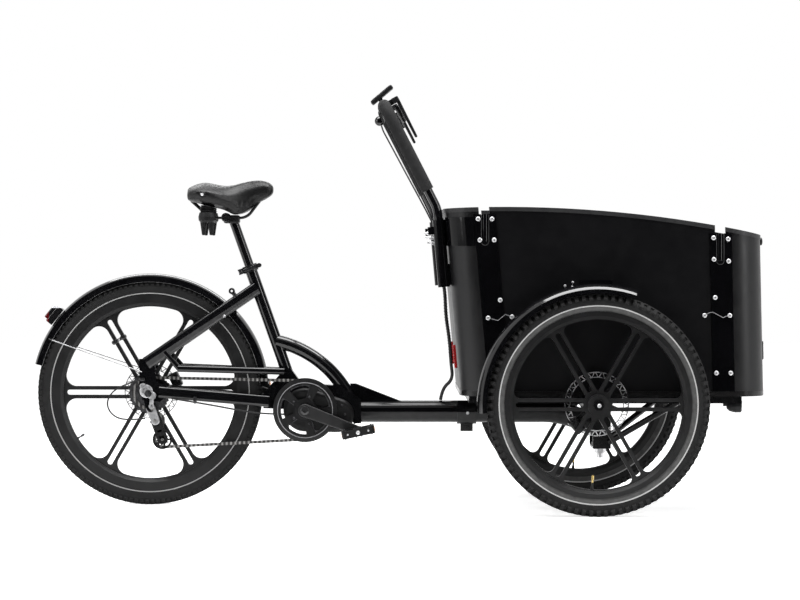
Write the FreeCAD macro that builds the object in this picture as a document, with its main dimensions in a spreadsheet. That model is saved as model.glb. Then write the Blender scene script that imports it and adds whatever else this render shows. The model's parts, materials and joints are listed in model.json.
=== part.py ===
import FreeCAD, Part
import math
import os
import Sketcher
from FreeCAD import Placement, Rotation, Vector

# Cargo tricycle: one driven rear wheel and a two-wheeled front chassis with a curved box.
# Frame: +X forward, +Y left, +Z up, origin on the ground under the middle of its outline.
# Millimetres and degrees throughout.

doc = FreeCAD.newDocument("cargo_tricycle")
sheet = doc.addObject("Spreadsheet::Sheet", "dims")


class Size:
    """A number that remembers the sheet expression that it comes from."""

    def __init__(self, number, text):
        self.number = float(number)
        self.text = text

    def __float__(self):
        return self.number

    def __add__(self, other):
        return Size(self.number + float(other), "(%s + %s)" % (self.text, words(other)))

    def __sub__(self, other):
        return Size(self.number - float(other), "(%s - %s)" % (self.text, words(other)))

    def __mul__(self, other):
        return Size(self.number * float(other), "(%s * %s)" % (self.text, words(other)))

    def __truediv__(self, other):
        return Size(self.number / float(other), "(%s / %s)" % (self.text, words(other)))

    def __neg__(self):
        return Size(-self.number, "(0 - %s)" % self.text)

    def __radd__(self, other):
        return self + other

    def __rmul__(self, other):
        return self * other

    def __rsub__(self, other):
        return (-self) + other


def words(value):
    """The expression text of a size, or of a plain number."""
    return value.text if isinstance(value, Size) else repr(float(value))


class Dims:
    """The driving dimensions, one sheet cell each, read back as sizes by name."""

    def __init__(self, table):
        for row, (name, number, meaning) in enumerate(table, start=1):
            sheet.set("A%d" % row, meaning)
            sheet.set("B%d" % row, str(number))
            sheet.setAlias("B%d" % row, name)
            setattr(self, name, Size(number, "dims." + name))


d = Dims([
    ("rear_axle_x", -717, "rear axle, ahead of the origin"),
    ("wheelbase", 1274, "rear axle to front axle"),
    ("steer_lead", 36, "steering pivot ahead of the front axle"),
    ("half_track", 375, "middle of a front wheel from the centre plane"),
    ("rear_tyre_r", 326.5, "rear tyre radius"),
    ("rear_tyre_w", 47, "rear tyre width"),
    ("rear_bead_r", 279.5, "rear bead seat radius"),
    ("rear_rim_r", 252, "inner radius of the rear rim"),
    ("front_tyre_r", 310.5, "front tyre radius"),
    ("front_tyre_w", 57, "front tyre width"),
    ("front_bead_r", 253.5, "front bead seat radius"),
    ("front_rim_r", 238, "inner radius of the front rim"),
    ("rim_flange", 6, "height of a rim flange over the bead seat"),
    ("web_w", 16, "thickness of the cast spokes along the axle"),
    ("spoke_half", 18, "half width of a double spoke"),
    ("spoke_bar", 10.5, "width of one bar of a double spoke"),
    ("rear_flare", 30, "fillet where a rear spoke meets the rim"),
    ("front_flare", 18, "fillet where a front spoke meets the rim"),
    ("run_gap", 0.05, "radial clearance of a running fit"),
    ("axle_r", 6, "rear axle radius"),
    ("stub_r", 8.5, "front stub axle radius"),
    ("dropout_y", 68, "inner face of a dropout"),
    ("dropout_w", 7, "dropout thickness"),
    ("bb_x", -265, "crank axis, ahead of the origin"),
    ("bb_z", 277, "crank axis height"),
    ("spindle_r", 9, "crank spindle radius"),
    ("crank_len", 165, "crank arm, axis to axis"),
    ("crank_drop", 20.6, "right crank below level at rest, degrees"),
    ("arm_y", 74, "middle of a crank arm from the centre plane"),
    ("chain_y", 46, "chain line from the centre plane"),
    ("pitch", 12.7, "chain pitch"),
    ("ring_teeth", 42, "chainring teeth"),
    ("cog_teeth", 22, "teeth of the cog under the chain"),
    ("pulley_teeth", 11, "teeth of a derailleur pulley"),
    ("guard_r", 93, "chain guard radius"),
    ("seat_foot_x", -303, "seat tube foot, ahead of the origin"),
    ("seat_foot_z", 340, "seat tube foot height"),
    ("seat_lean", 19.5, "seat tube lean, degrees from vertical"),
    ("seat_tube_len", 378, "seat tube length"),
    ("seat_tube_r", 17.5, "seat tube radius"),
    ("post_r", 13.6, "seat post radius"),
    ("post_len", 330, "seat post length"),
    ("post_show", 142, "seat post showing above the seat tube"),
    ("beam_r", 31.75, "main beam radius"),
    ("beam_z", 271, "main beam axis height"),
    ("beam_tail_x", -103, "rear end of the main beam"),
    ("beam_wall", 3, "wall of the main beam and the arch"),
    ("arch_r", 20, "arch tube radius"),
    ("arch_bend", 312, "bend radius of the arch"),
    ("head_r", 21, "steering head radius"),
    ("kingpin_r", 10, "steering pivot bolt radius"),
    ("axle_beam_z", 292, "underside of the front axle beam"),
    ("axle_beam_h", 38, "front axle beam, height and width"),
    ("fork_drop", 120, "steering yoke below the axle beam"),
    ("plate_w", 6, "steering yoke plate"),
    ("floor_z", 345, "cargo floor top"),
    ("floor_w", 15, "cargo floor thickness"),
    ("box_half", 315, "outer half width of the box"),
    ("box_wall", 12, "box panel thickness"),
    ("box_tail_x", 178, "rear of the box at the floor"),
    ("box_nose_x", 1036, "front of the box at the floor"),
    ("box_corner", 90, "corner radius of the box in plan"),
    ("tail_lean", 5.0, "lean of the rear panel, degrees"),
    ("nose_lean", 1.2, "lean of the front panel, degrees"),
    ("top_z", 861, "highest point of the box edge"),
    ("top_x", 300, "where the box edge is highest"),
    ("top_bend", 3400, "radius of the box edge"),
    ("trim_h", 12, "edge trim height"),
    ("trim_proud", 1.5, "edge trim past the panel faces"),
    ("strap_w", 62, "corner strap width"),
    ("strap_t", 3, "corner strap thickness"),
    ("socket_r", 9, "canopy pole socket radius"),
    ("socket_bore", 7, "canopy pole socket bore radius"),
    ("socket_len", 76, "canopy pole socket length"),
    ("socket_tail_x", 246, "rear pole sockets"),
    ("socket_nose_x", 904, "front pole sockets"),
    ("bar_r", 13, "handlebar tube radius"),
    ("bar_half", 240, "handlebar side tubes from the centre plane"),
    ("bar_top_x", -36, "handlebar cross tube"),
    ("bar_top_z", 1150, "handlebar cross tube height"),
    ("sleeve_len", 190, "handlebar guide sleeve length"),
    ("sleeve_foot_z", 636, "foot of the handlebar guide sleeves"),
    ("grip_r", 18, "grip radius"),
    ("grip_len", 270, "grip length below the bar's corner"),
    ("rear_guard_r", 346, "rear mudguard radius"),
    ("front_guard_r", 328, "front mudguard radius"),
    ("rear_rotor_r", 80, "rear brake disc radius"),
    ("front_rotor_r", 90, "front brake disc radius"),
    ("rotor_w", 1.8, "brake disc thickness"),
    ("motor_w", 96, "motor housing width"),
    ("bolt_r", 6.5, "panel bolt head radius"),
])
doc.recompute()

front_axle_x = d.rear_axle_x + d.wheelbase
kingpin_x = front_axle_x + d.steer_lead
level = Rotation()
along_y = Rotation(Vector(0, 0, 1), Vector(0, 1, 0))
along_x = Rotation(Vector(0, 0, 1), Vector(1, 0, 0))
axis_y = Vector(0, 1, 0)
subparts = []


# Small tools for placing, binding and joining

def point(*coords):
    return Vector(*[float(c) for c in coords])


def bind(obj, prop, size):
    """Sets a property, by expression where the size comes from the sheet."""
    setattr(obj, prop, float(size))
    if isinstance(size, Size):
        obj.setExpression(prop, size.text)


def place(obj, at, turn=level):
    obj.Placement = Placement(point(*at), turn)
    for axis, coord in zip("xyz", at):
        if isinstance(coord, Size):
            obj.setExpression("Placement.Base." + axis, coord.text)
    return obj


def keep(obj, label):
    """Names a finished sub-part and puts it on the list that is written out."""
    obj.Label = label
    subparts.append(obj)
    return obj


def cylinder(radius, length, at, turn=level):
    obj = doc.addObject("Part::Cylinder", "cylinder")
    bind(obj, "Radius", radius)
    bind(obj, "Height", length)
    return place(obj, at, turn)


def block(size, at):
    """A box given by its three sides and its lowest corner."""
    obj = doc.addObject("Part::Box", "block")
    for prop, side in zip(("Length", "Width", "Height"), size):
        bind(obj, prop, side)
    return place(obj, at)


def cut(base, *tools):
    for tool in tools:
        obj = doc.addObject("Part::Cut", "cut")
        obj.Base, obj.Tool = base, tool
        base = obj
    return base


def fuse(*items):
    obj = doc.addObject("Part::MultiFuse", "joined")
    obj.Shapes = list(items)
    obj.Refine = True
    return obj


def common(first, second):
    obj = doc.addObject("Part::Common", "common")
    obj.Base, obj.Tool = first, second
    return obj


def group(*items):
    obj = doc.addObject("Part::Compound", "group")
    obj.Links = list(items)
    return obj


def mirrored(item):
    """The same piece on the other side of the centre plane."""
    obj = doc.addObject("Part::Mirroring", "mirrored")
    obj.Source = item
    obj.Base, obj.Normal = Vector(0, 0, 0), axis_y
    return obj


def pair(item):
    return group(item, mirrored(item))


def tube(radius, bore, length, at, turn=level):
    return cut(cylinder(radius, length, at, turn), cylinder(bore, length, at, turn))


def solid(shape):
    """A document object for a form that is made straight from its shape."""
    obj = doc.addObject("Part::Feature", "form")
    obj.Shape = shape
    return obj


def half_turn_mid(start, end, bow):
    """The middle point of an arc of radius bow from start to end, bulging left when positive."""
    chord = end - start
    side = Vector(-chord.y, chord.x, 0).normalize()
    half = chord.Length / 2
    rise = abs(bow) - math.sqrt(max(bow * bow - half * half, 0))
    return start + chord / 2 + side * math.copysign(rise, bow)


def draw(sketch, loops):
    """Draws closed outlines whose corners and radii are tied to the sheet.

    A loop is a list of corners (u, v) or (u, v, bow), where bow is the radius of the arc that
    leaves the corner, or a circle ("circle", u, v, radius).
    """
    for loop in loops:
        if loop[0] == "circle":
            _, u, v, radius = loop
            circle = Part.Circle(point(u, v, 0), Vector(0, 0, 1), float(radius))
            ring = sketch.addGeometry(circle, False)
            lock(sketch, "Radius", (ring,), radius)
            tie(sketch, ring, 3, u, v)
            continue
        corners = [point(c[0], c[1], 0) for c in loop]
        first = None
        for index, corner in enumerate(loop):
            start, end = corners[index], corners[(index + 1) % len(corners)]
            if len(corner) > 2:
                mid = half_turn_mid(start, end, float(corner[2]))
                curve = Part.Arc(start, mid, end)
            else:
                curve = Part.LineSegment(start, end)
            number = sketch.addGeometry(curve, False)
            first = number if first is None else first
        count = len(loop)
        ends = []
        for index, corner in enumerate(loop):
            number = first + index
            flipped = len(corner) > 2 and float(corner[2]) > 0
            ends.append((number, 2, 1) if flipped else (number, 1, 2))
        for index, corner in enumerate(loop):
            number, head, tail = ends[index]
            after, next_head, _ = ends[(index + 1) % count]
            sketch.addConstraint(Sketcher.Constraint("Coincident", number, tail, after, next_head))
            tie(sketch, number, head, corner[0], corner[1])
            if len(corner) > 2:
                radius = corner[2] if float(corner[2]) > 0 else -corner[2]
                lock(sketch, "Radius", (number,), radius)


def lock(sketch, kind, where, size):
    number = sketch.addConstraint(Sketcher.Constraint(kind, *where, float(size)))
    if isinstance(size, Size):
        sketch.setExpression("Constraints[%d]" % number, size.text)


def tie(sketch, number, end, u, v):
    lock(sketch, "DistanceX", (-1, 1, number, end), u)
    lock(sketch, "DistanceY", (-1, 1, number, end), v)


def new_sketch(body, role, loops):
    sketch = body.newObject("Sketcher::SketchObject", "outline")
    plane = [f for f in body.Origin.OriginFeatures if f.Role == role][0]
    sketch.AttachmentSupport = [(plane, "")]
    sketch.MapMode = "FlatFace"
    draw(sketch, loops)
    return sketch


def plate(loops, width, at, turn=level, role="XZ_Plane"):
    """A flat piece: outlines in the X-Z plane, padded to both sides of it."""
    body = doc.addObject("PartDesign::Body", "plate")
    pad = body.newObject("PartDesign::Pad", "pad")
    pad.Profile = new_sketch(body, role, loops)
    pad.Midplane = True
    bind(pad, "Length", width)
    body.Tip = pad
    return place(body, at, turn)


def spun(loop, at, turn=level):
    """A turned piece: an outline of (radius, place along the axle), turned about Y."""
    body = doc.addObject("PartDesign::Body", "turned")
    sketch = new_sketch(body, "XY_Plane", [loop])
    turned = body.newObject("PartDesign::Revolution", "turned")
    turned.Profile = sketch
    turned.ReferenceAxis = (sketch, ["V_Axis"])
    turned.Angle = 360
    body.Tip = turned
    return place(body, at, turn)


def ring_of_cuts(body, loops, count):
    """Cuts the outlines through a plate and repeats them round its Y axis."""
    before = body.Tip
    pocket = body.newObject("PartDesign::Pocket", "cutout")
    pocket.Profile = new_sketch(body, "XZ_Plane", loops)
    pocket.Type = "ThroughAll"
    pocket.Midplane = True
    pocket.BaseFeature = before
    body.Tip = pocket
    doc.recompute()
    pattern = body.newObject("PartDesign::PolarPattern", "repeat")
    pattern.Originals = [pocket]
    axis = [f for f in body.Origin.OriginFeatures if f.Role == "Y_Axis"][0]
    pattern.Axis = (axis, [""])
    pattern.Angle = 360
    pattern.Occurrences = int(float(count))
    body.Tip = pattern
    return body


def wire(points, bends):
    """Straight runs through the points, with a tangent arc of each bend radius at its corner."""
    edges = []
    start = points[0]
    for before, corner, after, bend in zip(points, points[1:], points[2:], bends):
        back = (before - corner).normalize()
        ahead = (after - corner).normalize()
        half = back.getAngle(ahead) / 2
        reach = bend / math.tan(half)
        middle = corner + (back + ahead).normalize() * (bend / math.sin(half))
        inner = middle + (corner - middle).normalize() * bend
        enter, leave = corner + back * reach, corner + ahead * reach
        edges.append(Part.makeLine(start, enter))
        edges.append(Part.Arc(enter, inner, leave).toShape())
        start = leave
    edges.append(Part.makeLine(start, points[-1]))
    return Part.Wire(edges)


def round_pipe(path, radius):
    first = path.Edges[0]
    start = first.valueAt(first.FirstParameter)
    heading = first.tangentAt(first.FirstParameter)
    section = Part.Wire([Part.makeCircle(float(radius), start, heading)])
    return path.makePipeShell([section], True, False)


def hollow_pipe(path, radius, wall):
    return round_pipe(path, radius).cut(round_pipe(path, float(radius) - float(wall)))


def soft_box(size, at, radius, chosen):
    """A block with a fillet on the chosen edges."""
    body = Part.makeBox(*size, Vector(*at))
    return body.makeFillet(radius, [e for e in body.Edges if chosen(e)])


def face_of(points):
    return Part.Face(Part.makePolygon([point(*p) for p in points] + [point(*points[0])]))


def strut_turn(start, end, flat):
    """A turn that carries Z along the strut and X as near as can be to the flat direction."""
    along = (end - start).normalize()
    across = along.cross(flat).normalize()
    return Rotation(across.cross(along), across, along, "ZXY")


def flat_strut(start, end, depth, width):
    """A straight tube of rounded section, deeper than it is wide."""
    half, radius = (depth - width) / 2, width / 2
    corners = [Vector(-half, -radius, 0), Vector(half, -radius, 0), Vector(half, radius, 0),
               Vector(-half, radius, 0)]
    edges = [Part.makeLine(corners[0], corners[1]),
             Part.Arc(corners[1], Vector(half + radius, 0, 0), corners[2]).toShape(),
             Part.makeLine(corners[2], corners[3]),
             Part.Arc(corners[3], Vector(-half - radius, 0, 0), corners[0]).toShape()]
    section = Part.Face(Part.Wire(edges))
    strut = solid(section.extrude(Vector(0, 0, (end - start).Length)))
    return place(strut, start, strut_turn(start, end, Vector(0, 0, 1)))


# Wheels: a tyre, a cast rim with six double spokes, and a vented brake disc

seat_share = 0.34
heel_r = 4.0


def tyre(radius, width, bead, at, label):
    seat, half, tread = width * seat_share, width / 2, width * 0.28
    crown, wall, drop = 9, 4, 4
    bow = (radius - bead) * 0.62
    lip = bead + d.rim_flange + 0.6
    bulge = bead + (radius - bead) * 0.48
    loop = [(bead, -seat), (lip, -seat), (bulge, -half), (radius - drop, -tread), (radius, 0),
            (radius - drop, tread), (bulge, half), (lip, seat), (bead, seat), (bead, seat - wall),
            (bulge, half - wall), (radius - crown, 0), (bulge, wall - half), (bead, wall - seat)]
    bows = {1: bow, 2: bow, 5: bow, 6: bow}
    loop = [c + ((-bows[i],) if i in bows else ()) for i, c in enumerate(loop)]
    return keep(spun(loop, at), label)


def spoke_window(rim, half, flare, heel, count):
    """The opening between two of a ring of spokes, as a face in the X-Z plane.

    Each side runs along a spoke, flares into the rim and turns round a small heel at the hub.
    """
    middle_turn = math.pi / count
    outer_x = math.sqrt((rim - flare) ** 2 - (half + flare) ** 2)
    heel_reach = (half + heel) / math.sin(middle_turn)
    inner_x = heel_reach * math.cos(middle_turn)
    middle = Vector(math.cos(middle_turn), 0, math.sin(middle_turn))
    flare_mid = Vector(outer_x, 0, half + flare)
    line_in, line_out = Vector(inner_x, 0, half), Vector(outer_x, 0, half)
    to_rim = flare_mid * (rim / (rim - flare))
    flare_bulge = flare_mid + ((line_out + to_rim) / 2 - flare_mid).normalize() * flare

    def other(v):
        return middle * (2 * v.dot(middle)) - v

    return Part.Face(Part.Wire([
        Part.makeLine(line_in, line_out),
        Part.Arc(line_out, flare_bulge, to_rim).toShape(),
        Part.Arc(to_rim, middle * rim, other(to_rim)).toShape(),
        Part.Arc(other(to_rim), other(flare_bulge), other(line_out)).toShape(),
        Part.makeLine(other(line_out), other(line_in)),
        Part.Arc(other(line_in), middle * (heel_reach - heel), line_in).toShape()]))


def spoke_slot(hub, rim, half):
    """The long slot down the middle of a double spoke, round at both ends."""
    start, end = hub + half + 6, rim - half - 10
    edges = [Part.makeLine(Vector(start, 0, half), Vector(end, 0, half)),
             Part.Arc(Vector(end, 0, half), Vector(end + half, 0, 0), Vector(end, 0, -half)).toShape(),
             Part.makeLine(Vector(end, 0, -half), Vector(start, 0, -half)),
             Part.Arc(Vector(start, 0, -half), Vector(start - half, 0, 0), Vector(start, 0, half)).toShape()]
    return Part.Face(Part.Wire(edges))


def cast_rim(bead, rim, tyre_w, flare, hub, hub_left, hub_right, bore, turn, at, label):
    """Hub, double spokes and rim in one casting; hub_left and hub_right are its ends along Y."""
    bead, rim, hub, bore = float(bead), float(rim), float(hub), float(bore)
    seat = float(tyre_w) * seat_share + 0.3
    web, flange = float(d.web_w) / 2, float(d.rim_flange)
    lip, shoulder = 2.6, 12.0
    step = bead - 0.3
    well = step - 7
    profile = [(bore, hub_right), (hub, hub_right), (hub, -web), (rim, -web), (rim, -shoulder),
               (rim + 9, -seat - lip), (bead + flange, -seat - lip), (bead + flange, -seat),
               (step, -seat), (step, -seat + 6), (well, -seat + 9), (well, seat - 9), (step, seat - 6),
               (step, seat), (bead + flange, seat), (bead + flange, seat + lip), (rim + 9, seat + lip),
               (rim, shoulder), (rim, web), (hub, web), (hub, hub_left), (bore, hub_left)]
    casting = face_of([(r, y, 0) for r, y in profile]).revolve(Vector(), axis_y, 360)
    windows = []
    window = spoke_window(rim - 2, float(d.spoke_half), float(flare), heel_r, 6)
    slot = spoke_slot(hub + 4, rim, float(d.spoke_half) - float(d.spoke_bar))
    for face in (window, slot):
        prism = face.extrude(Vector(0, 4 * web, 0))
        prism.translate(Vector(0, -2 * web, 0))
        for index in range(6):
            windows.append(prism.rotated(Vector(), axis_y, 60 * index))
    casting = casting.cut(windows)
    if turn:
        casting = casting.rotated(Vector(), axis_y, turn)
    return keep(place(solid(casting), at), label)


def brake_disc(radius, hub, bore, at, label):
    """A braking ring with slanted slots, held on the hub by six swept arms."""
    disc = plate([("circle", 0, 0, radius), ("circle", 0, 0, bore)], d.rotor_w, at)
    ring = radius - 17
    inner = hub + 9
    arm = 16
    window = [(inner, 5), (ring - 6, arm - 6), (ring * 0.62, ring * 0.74), (inner * 0.62, inner * 0.74)]
    ring_of_cuts(disc, [window], 6)
    slot_in, slot_out = radius - 13, radius - 4
    ring_of_cuts(disc, [[(slot_in, -2), (slot_out, 4), (slot_out, 8), (slot_in, 2)]], 18)
    return keep(disc, label)


rear_axle = (d.rear_axle_x, 0, d.rear_tyre_r)
rear_hub = 27
tyre(d.rear_tyre_r, d.rear_tyre_w, d.rear_bead_r, rear_axle, "rear_tyre")
rear_disc_y = 50
cast_rim(d.rear_bead_r, d.rear_rim_r, d.rear_tyre_w, d.rear_flare, rear_hub, rear_disc_y - 1, -30,
         d.axle_r + d.run_gap, 0, rear_axle, "rear_rim")
brake_disc(d.rear_rotor_r, 22, d.axle_r + d.run_gap,
           (d.rear_axle_x, rear_disc_y + d.rotor_w / 2 - 1, d.rear_tyre_r), "rear_brake_disc")
front_hub = 30
front_disc_in = 38
for side, name, turn in ((-1, "right", 0), (1, "left", 30)):
    hub_at = (front_axle_x, side * d.half_track, d.front_tyre_r)
    tyre(d.front_tyre_r, d.front_tyre_w, d.front_bead_r, hub_at, "front_tyre_" + name)
    ends = sorted((side * 36, -side * front_disc_in))
    cast_rim(d.front_bead_r, d.front_rim_r, d.front_tyre_w, d.front_flare, front_hub, ends[1], ends[0],
             d.stub_r + d.run_gap, turn, hub_at, "front_rim_" + name)
    disc_y = side * (d.half_track - front_disc_in - d.rotor_w / 2)
    brake_disc(d.front_rotor_r, 24, d.stub_r + d.run_gap,
               (front_axle_x, disc_y, d.front_tyre_r), "front_brake_disc_" + name)

# Rear frame: seat tube, arch, main beam with the steering head, stays and dropouts

lean = math.radians(float(d.seat_lean))
seat_axis = Vector(-math.sin(lean), 0, math.cos(lean))
seat_turn = Rotation(Vector(0, 0, 1), seat_axis)
seat_foot = (d.seat_foot_x, 0, d.seat_foot_z)
seat_core = cylinder(d.seat_tube_r, d.seat_tube_len, seat_foot, seat_turn)
keep(cut(seat_core, cylinder(d.post_r + d.run_gap, d.seat_tube_len, seat_foot, seat_turn)), "seat_tube")


def seat_point(height):
    """A point of the seat tube's axis, that far up from its foot."""
    return point(*seat_foot) + seat_axis * float(height)


beam_tail = point(d.beam_tail_x, 0, d.beam_z)
head_low = float(d.axle_beam_z) - float(d.plate_w) - float(d.fork_drop) + float(d.plate_w)
head_top = float(d.axle_beam_z) - float(d.plate_w)
head_mid = (head_low + head_top) / 2
beam_path = wire([beam_tail, point(kingpin_x - 125, 0, d.beam_z), point(kingpin_x, 0, head_mid)], [260])
beam_core = solid(round_pipe(beam_path, d.beam_r))
head_core = cylinder(d.head_r, head_top - head_low, (kingpin_x, 0, head_low))
beam_skin = solid(hollow_pipe(beam_path, d.beam_r, d.beam_wall))
main_beam = cut(beam_skin, head_core)
clip_x, clip_long, clip_wall = 176, 56, 5
beam_clip = cylinder(d.beam_r + clip_wall, clip_long, (clip_x, 0, d.beam_z), along_x)
clip_top = block((clip_long, 100, 40), (clip_x, -50, d.beam_z + d.beam_r - 4))
clip_lug = block((36, 16, 26), (clip_x + 10, -8, d.beam_z - d.beam_r - 26))
clip_bolt = cylinder(5, 30, (clip_x + 28, -15, d.beam_z - d.beam_r - 16), along_y)
beam_clip = cut(fuse(beam_clip, clip_lug, clip_bolt), clip_top, beam_core)
washer = 0.3
head_cup = d.head_r + 5
cup_h = 9
head_len = head_top - head_low
head_bore = d.kingpin_r + d.run_gap
head_tube = spun([(head_bore, washer), (head_cup, washer), (head_cup, cup_h), (d.head_r, cup_h + 4),
                  (d.head_r, head_len - cup_h - 4), (head_cup, head_len - cup_h),
                  (head_cup, head_len - washer), (head_bore, head_len - washer)],
                 (kingpin_x, 0, head_low), Rotation(axis_y, Vector(0, 0, 1)))

arch_start = seat_point(143)
first_heading, last_heading = math.radians(-12), math.radians(-66)
bend = float(d.arch_bend)
arch_centre = arch_start + Vector(math.sin(first_heading), 0, -math.cos(first_heading)) * bend


def arch_point(heading):
    return arch_centre + Vector(-math.sin(heading), 0, math.cos(heading)) * bend


arch_end = arch_point(last_heading)
arch_tail = arch_end + Vector(math.cos(last_heading), 0, math.sin(last_heading)) * 60
arch_mid = arch_point((first_heading + last_heading) / 2)
arch_path = Part.Wire([Part.Arc(arch_start, arch_mid, arch_end).toShape(),
                       Part.makeLine(arch_end, arch_tail)])
arch_core = solid(round_pipe(arch_path, d.arch_r))
arch_skin = solid(hollow_pipe(arch_path, d.arch_r, d.beam_wall))

gusset_w = 22
gusset_nose = 18
gusset = plate([[(-135, 352), (-118, 352), (gusset_nose, d.beam_z + 28), (gusset_nose, d.beam_z),
                 (-104, d.beam_z), (-128, 300)]], gusset_w, (0, 0, 0))

dropout_mid = d.dropout_y + d.dropout_w / 2
dropout_loop = [(-17, -20), (34, -24), (52, -8), (50, 22), (24, 34), (14, 100), (-26, 100), (-26, 22)]
dropout = plate([dropout_loop, ("circle", 0, 0, d.axle_r + 0.3)], d.dropout_w,
                (d.rear_axle_x, -dropout_mid, d.rear_tyre_r))

stay_y = float(dropout_mid)
seat_joint = seat_point(308)
stay_foot = point(d.rear_axle_x - 6, -stay_y, d.rear_tyre_r + 86)
seat_stay = flat_strut(Vector(seat_joint.x, -25, seat_joint.z), stay_foot, 38, 18)
keep(pair(cut(seat_stay, seat_core, dropout)), "seat_stays")
chain_stay = flat_strut(point(d.bb_x - 106, -37, 302), point(d.rear_axle_x + 30, -stay_y, d.rear_tyre_r + 4),
                        34, 16)
upper_from = point(d.bb_x - 62, -28, 388)
upper_to = point(d.rear_axle_x + 84, -stay_y + 2, d.rear_tyre_r + 72)
upper_stay = flat_strut(upper_from, upper_to, 20, 16)
brace = flat_strut(upper_to + Vector(6, 0, -2), stay_foot + Vector(52, 3, 34), 16.2, 12)
upper_stay = cut(upper_stay, seat_core)
keep(pair(cut(chain_stay, dropout)), "chain_stays")
keep(group(pair(upper_stay), pair(cut(brace, seat_stay, upper_stay))), "upper_stays")

# Motor, its yoke on the frame, and the crank set

motor_y = 10
nose_x, nose_z, nose_r, tail_r = 92, -16, 50, 64


def hull(first, first_r, last, last_r):
    """The outline of two circles joined by their outer tangents, second circle ahead of the first."""
    chord = last - first
    swing = math.asin((first_r - last_r) / chord.Length)
    aim = math.atan2(chord.z, chord.x)
    up = Vector(math.cos(aim + math.pi / 2 - swing), 0, math.sin(aim + math.pi / 2 - swing))
    down = Vector(math.cos(aim - math.pi / 2 + swing), 0, math.sin(aim - math.pi / 2 + swing))
    ahead = Vector(math.cos(aim), 0, math.sin(aim))
    edges = [Part.makeLine(first + up * first_r, last + up * last_r),
             Part.Arc(last + up * last_r, last + ahead * last_r, last + down * last_r).toShape(),
             Part.makeLine(last + down * last_r, first + down * first_r),
             Part.Arc(first + down * first_r, first - ahead * first_r, first + up * first_r).toShape()]
    return Part.Face(Part.Wire(edges))


def slab(face, low, high):
    """A face in the X-Z plane, made solid from low to high along Y."""
    body = face.extrude(Vector(0, high - low, 0))
    body.translate(Vector(0, low, 0))
    return body


bb = point(d.bb_x, 0, d.bb_z)
half_motor = float(d.motor_w) / 2
nose = bb + Vector(nose_x, 0, nose_z)
block_shape = slab(hull(bb, tail_r, nose, nose_r), motor_y - half_motor, motor_y + half_motor)
rims = [e for e in block_shape.Edges if e.BoundBox.YLength < 0.1]
block_shape = block_shape.makeFillet(13, rims)
motor_core = solid(block_shape)
spindle_bore = cylinder(d.spindle_r + d.run_gap, 200, (d.bb_x, -100, d.bb_z), along_y)
motor_shell = cut(motor_core, spindle_bore)
cap_low = motor_y + half_motor
cover = slab(hull(bb, 50, nose, 36), cap_low, cap_low + 5)
cover = cover.makeFillet(3, [e for e in cover.Edges if e.BoundBox.YMin > cap_low + 4.9])
keep(group(motor_shell, cut(solid(cover), spindle_bore)), "motor_housing")

keep(cut(arch_skin, seat_core, beam_core, motor_core), "arch_tube")

yoke_loop = [(d.bb_x - 122, d.bb_z + 4), (d.bb_x - 122, d.bb_z + 46), (d.bb_x - 62, d.bb_z + 118),
             (d.bb_x - 44, d.bb_z + 122), (d.bb_x - 10, d.bb_z + 76), (d.bb_x + 100, d.bb_z + 70),
             (d.beam_tail_x, d.beam_z + 36), (d.beam_tail_x, d.beam_z - 34),
             (d.beam_tail_x - 16, d.beam_z - 34), (d.bb_x + 92, d.bb_z), (d.bb_x, d.bb_z)]
yoke_w = 56
yoke = plate([yoke_loop], yoke_w, (0, 0, 0))
keep(group(main_beam, head_tube, beam_clip, cut(gusset, beam_core, arch_core, yoke)), "main_beam")
keep(cut(yoke, motor_core, seat_core, arch_core, beam_core, chain_stay, mirrored(chain_stay),
         upper_stay, mirrored(upper_stay)), "motor_yoke")

chain_line = -d.chain_y
spindle_end = d.arm_y + 8
spindle = cylinder(d.spindle_r, 2 * spindle_end, (d.bb_x, -spindle_end, d.bb_z), along_y)


def pitch_radius(teeth):
    return float(d.pitch) / (2 * math.sin(math.pi / float(teeth)))


roller_r, tooth_gap = 3.85, 0.5


def toothed_disc(teeth, width, bore, at):
    """A sprocket whose tooth tips stop just inside the chain's rollers."""
    tip = pitch_radius(teeth) - roller_r - tooth_gap
    disc = cylinder_shape(tip, width).cut(cylinder_shape(float(bore), width))
    valleys = []
    for index in range(int(float(teeth))):
        valley = cylinder_shape(3.4, width)
        valley.translate(Vector(tip + 0.4, 0, 0))
        valleys.append(valley.rotated(Vector(), axis_y, 360 * (index + 0.5) / float(teeth)))
    disc = disc.cut(valleys)
    disc.translate(point(*at))
    return disc


def cylinder_shape(radius, width):
    return Part.makeCylinder(radius, width, Vector(0, -width / 2, 0), axis_y)


ring_at = (d.bb_x, chain_line, d.bb_z)
ring_shape = toothed_disc(d.ring_teeth, 2.2, d.spindle_r, ring_at)
window_face = spoke_window(70.0, 9.0, 7.0, 6.0, 5)
ring_windows = []
for index in range(5):
    prism = slab(window_face, -10, 10)
    opening = prism.rotated(Vector(), axis_y, 72 * index)
    opening.translate(point(*ring_at))
    ring_windows.append(opening)
keep(solid(ring_shape.cut(ring_windows)), "chainring")
guard_y = -(d.chain_y + 7)
guard = spun([(d.spindle_r, -1), (30, -1), (32, -2), (d.guard_r - 12, -2), (d.guard_r - 8, -1),
              (d.guard_r, 1), (d.guard_r, 2.5), (d.guard_r - 9, 1), (30, 1), (24, 5.5),
              (d.spindle_r, 5.5)], (d.bb_x, guard_y, d.bb_z))
petal_in, petal_out = 36, 74
petal_turns = [(petal_in, 9), (petal_out, 6), (petal_out, 23), (petal_out, 40), (petal_out, 57),
               (petal_in, 54)]
petal = [(r * math.cos(math.radians(a)), r * math.sin(math.radians(a))) for r, a in petal_turns]
ring_of_cuts(guard, [petal], 5)
keep(guard, "chain_guard")

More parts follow.
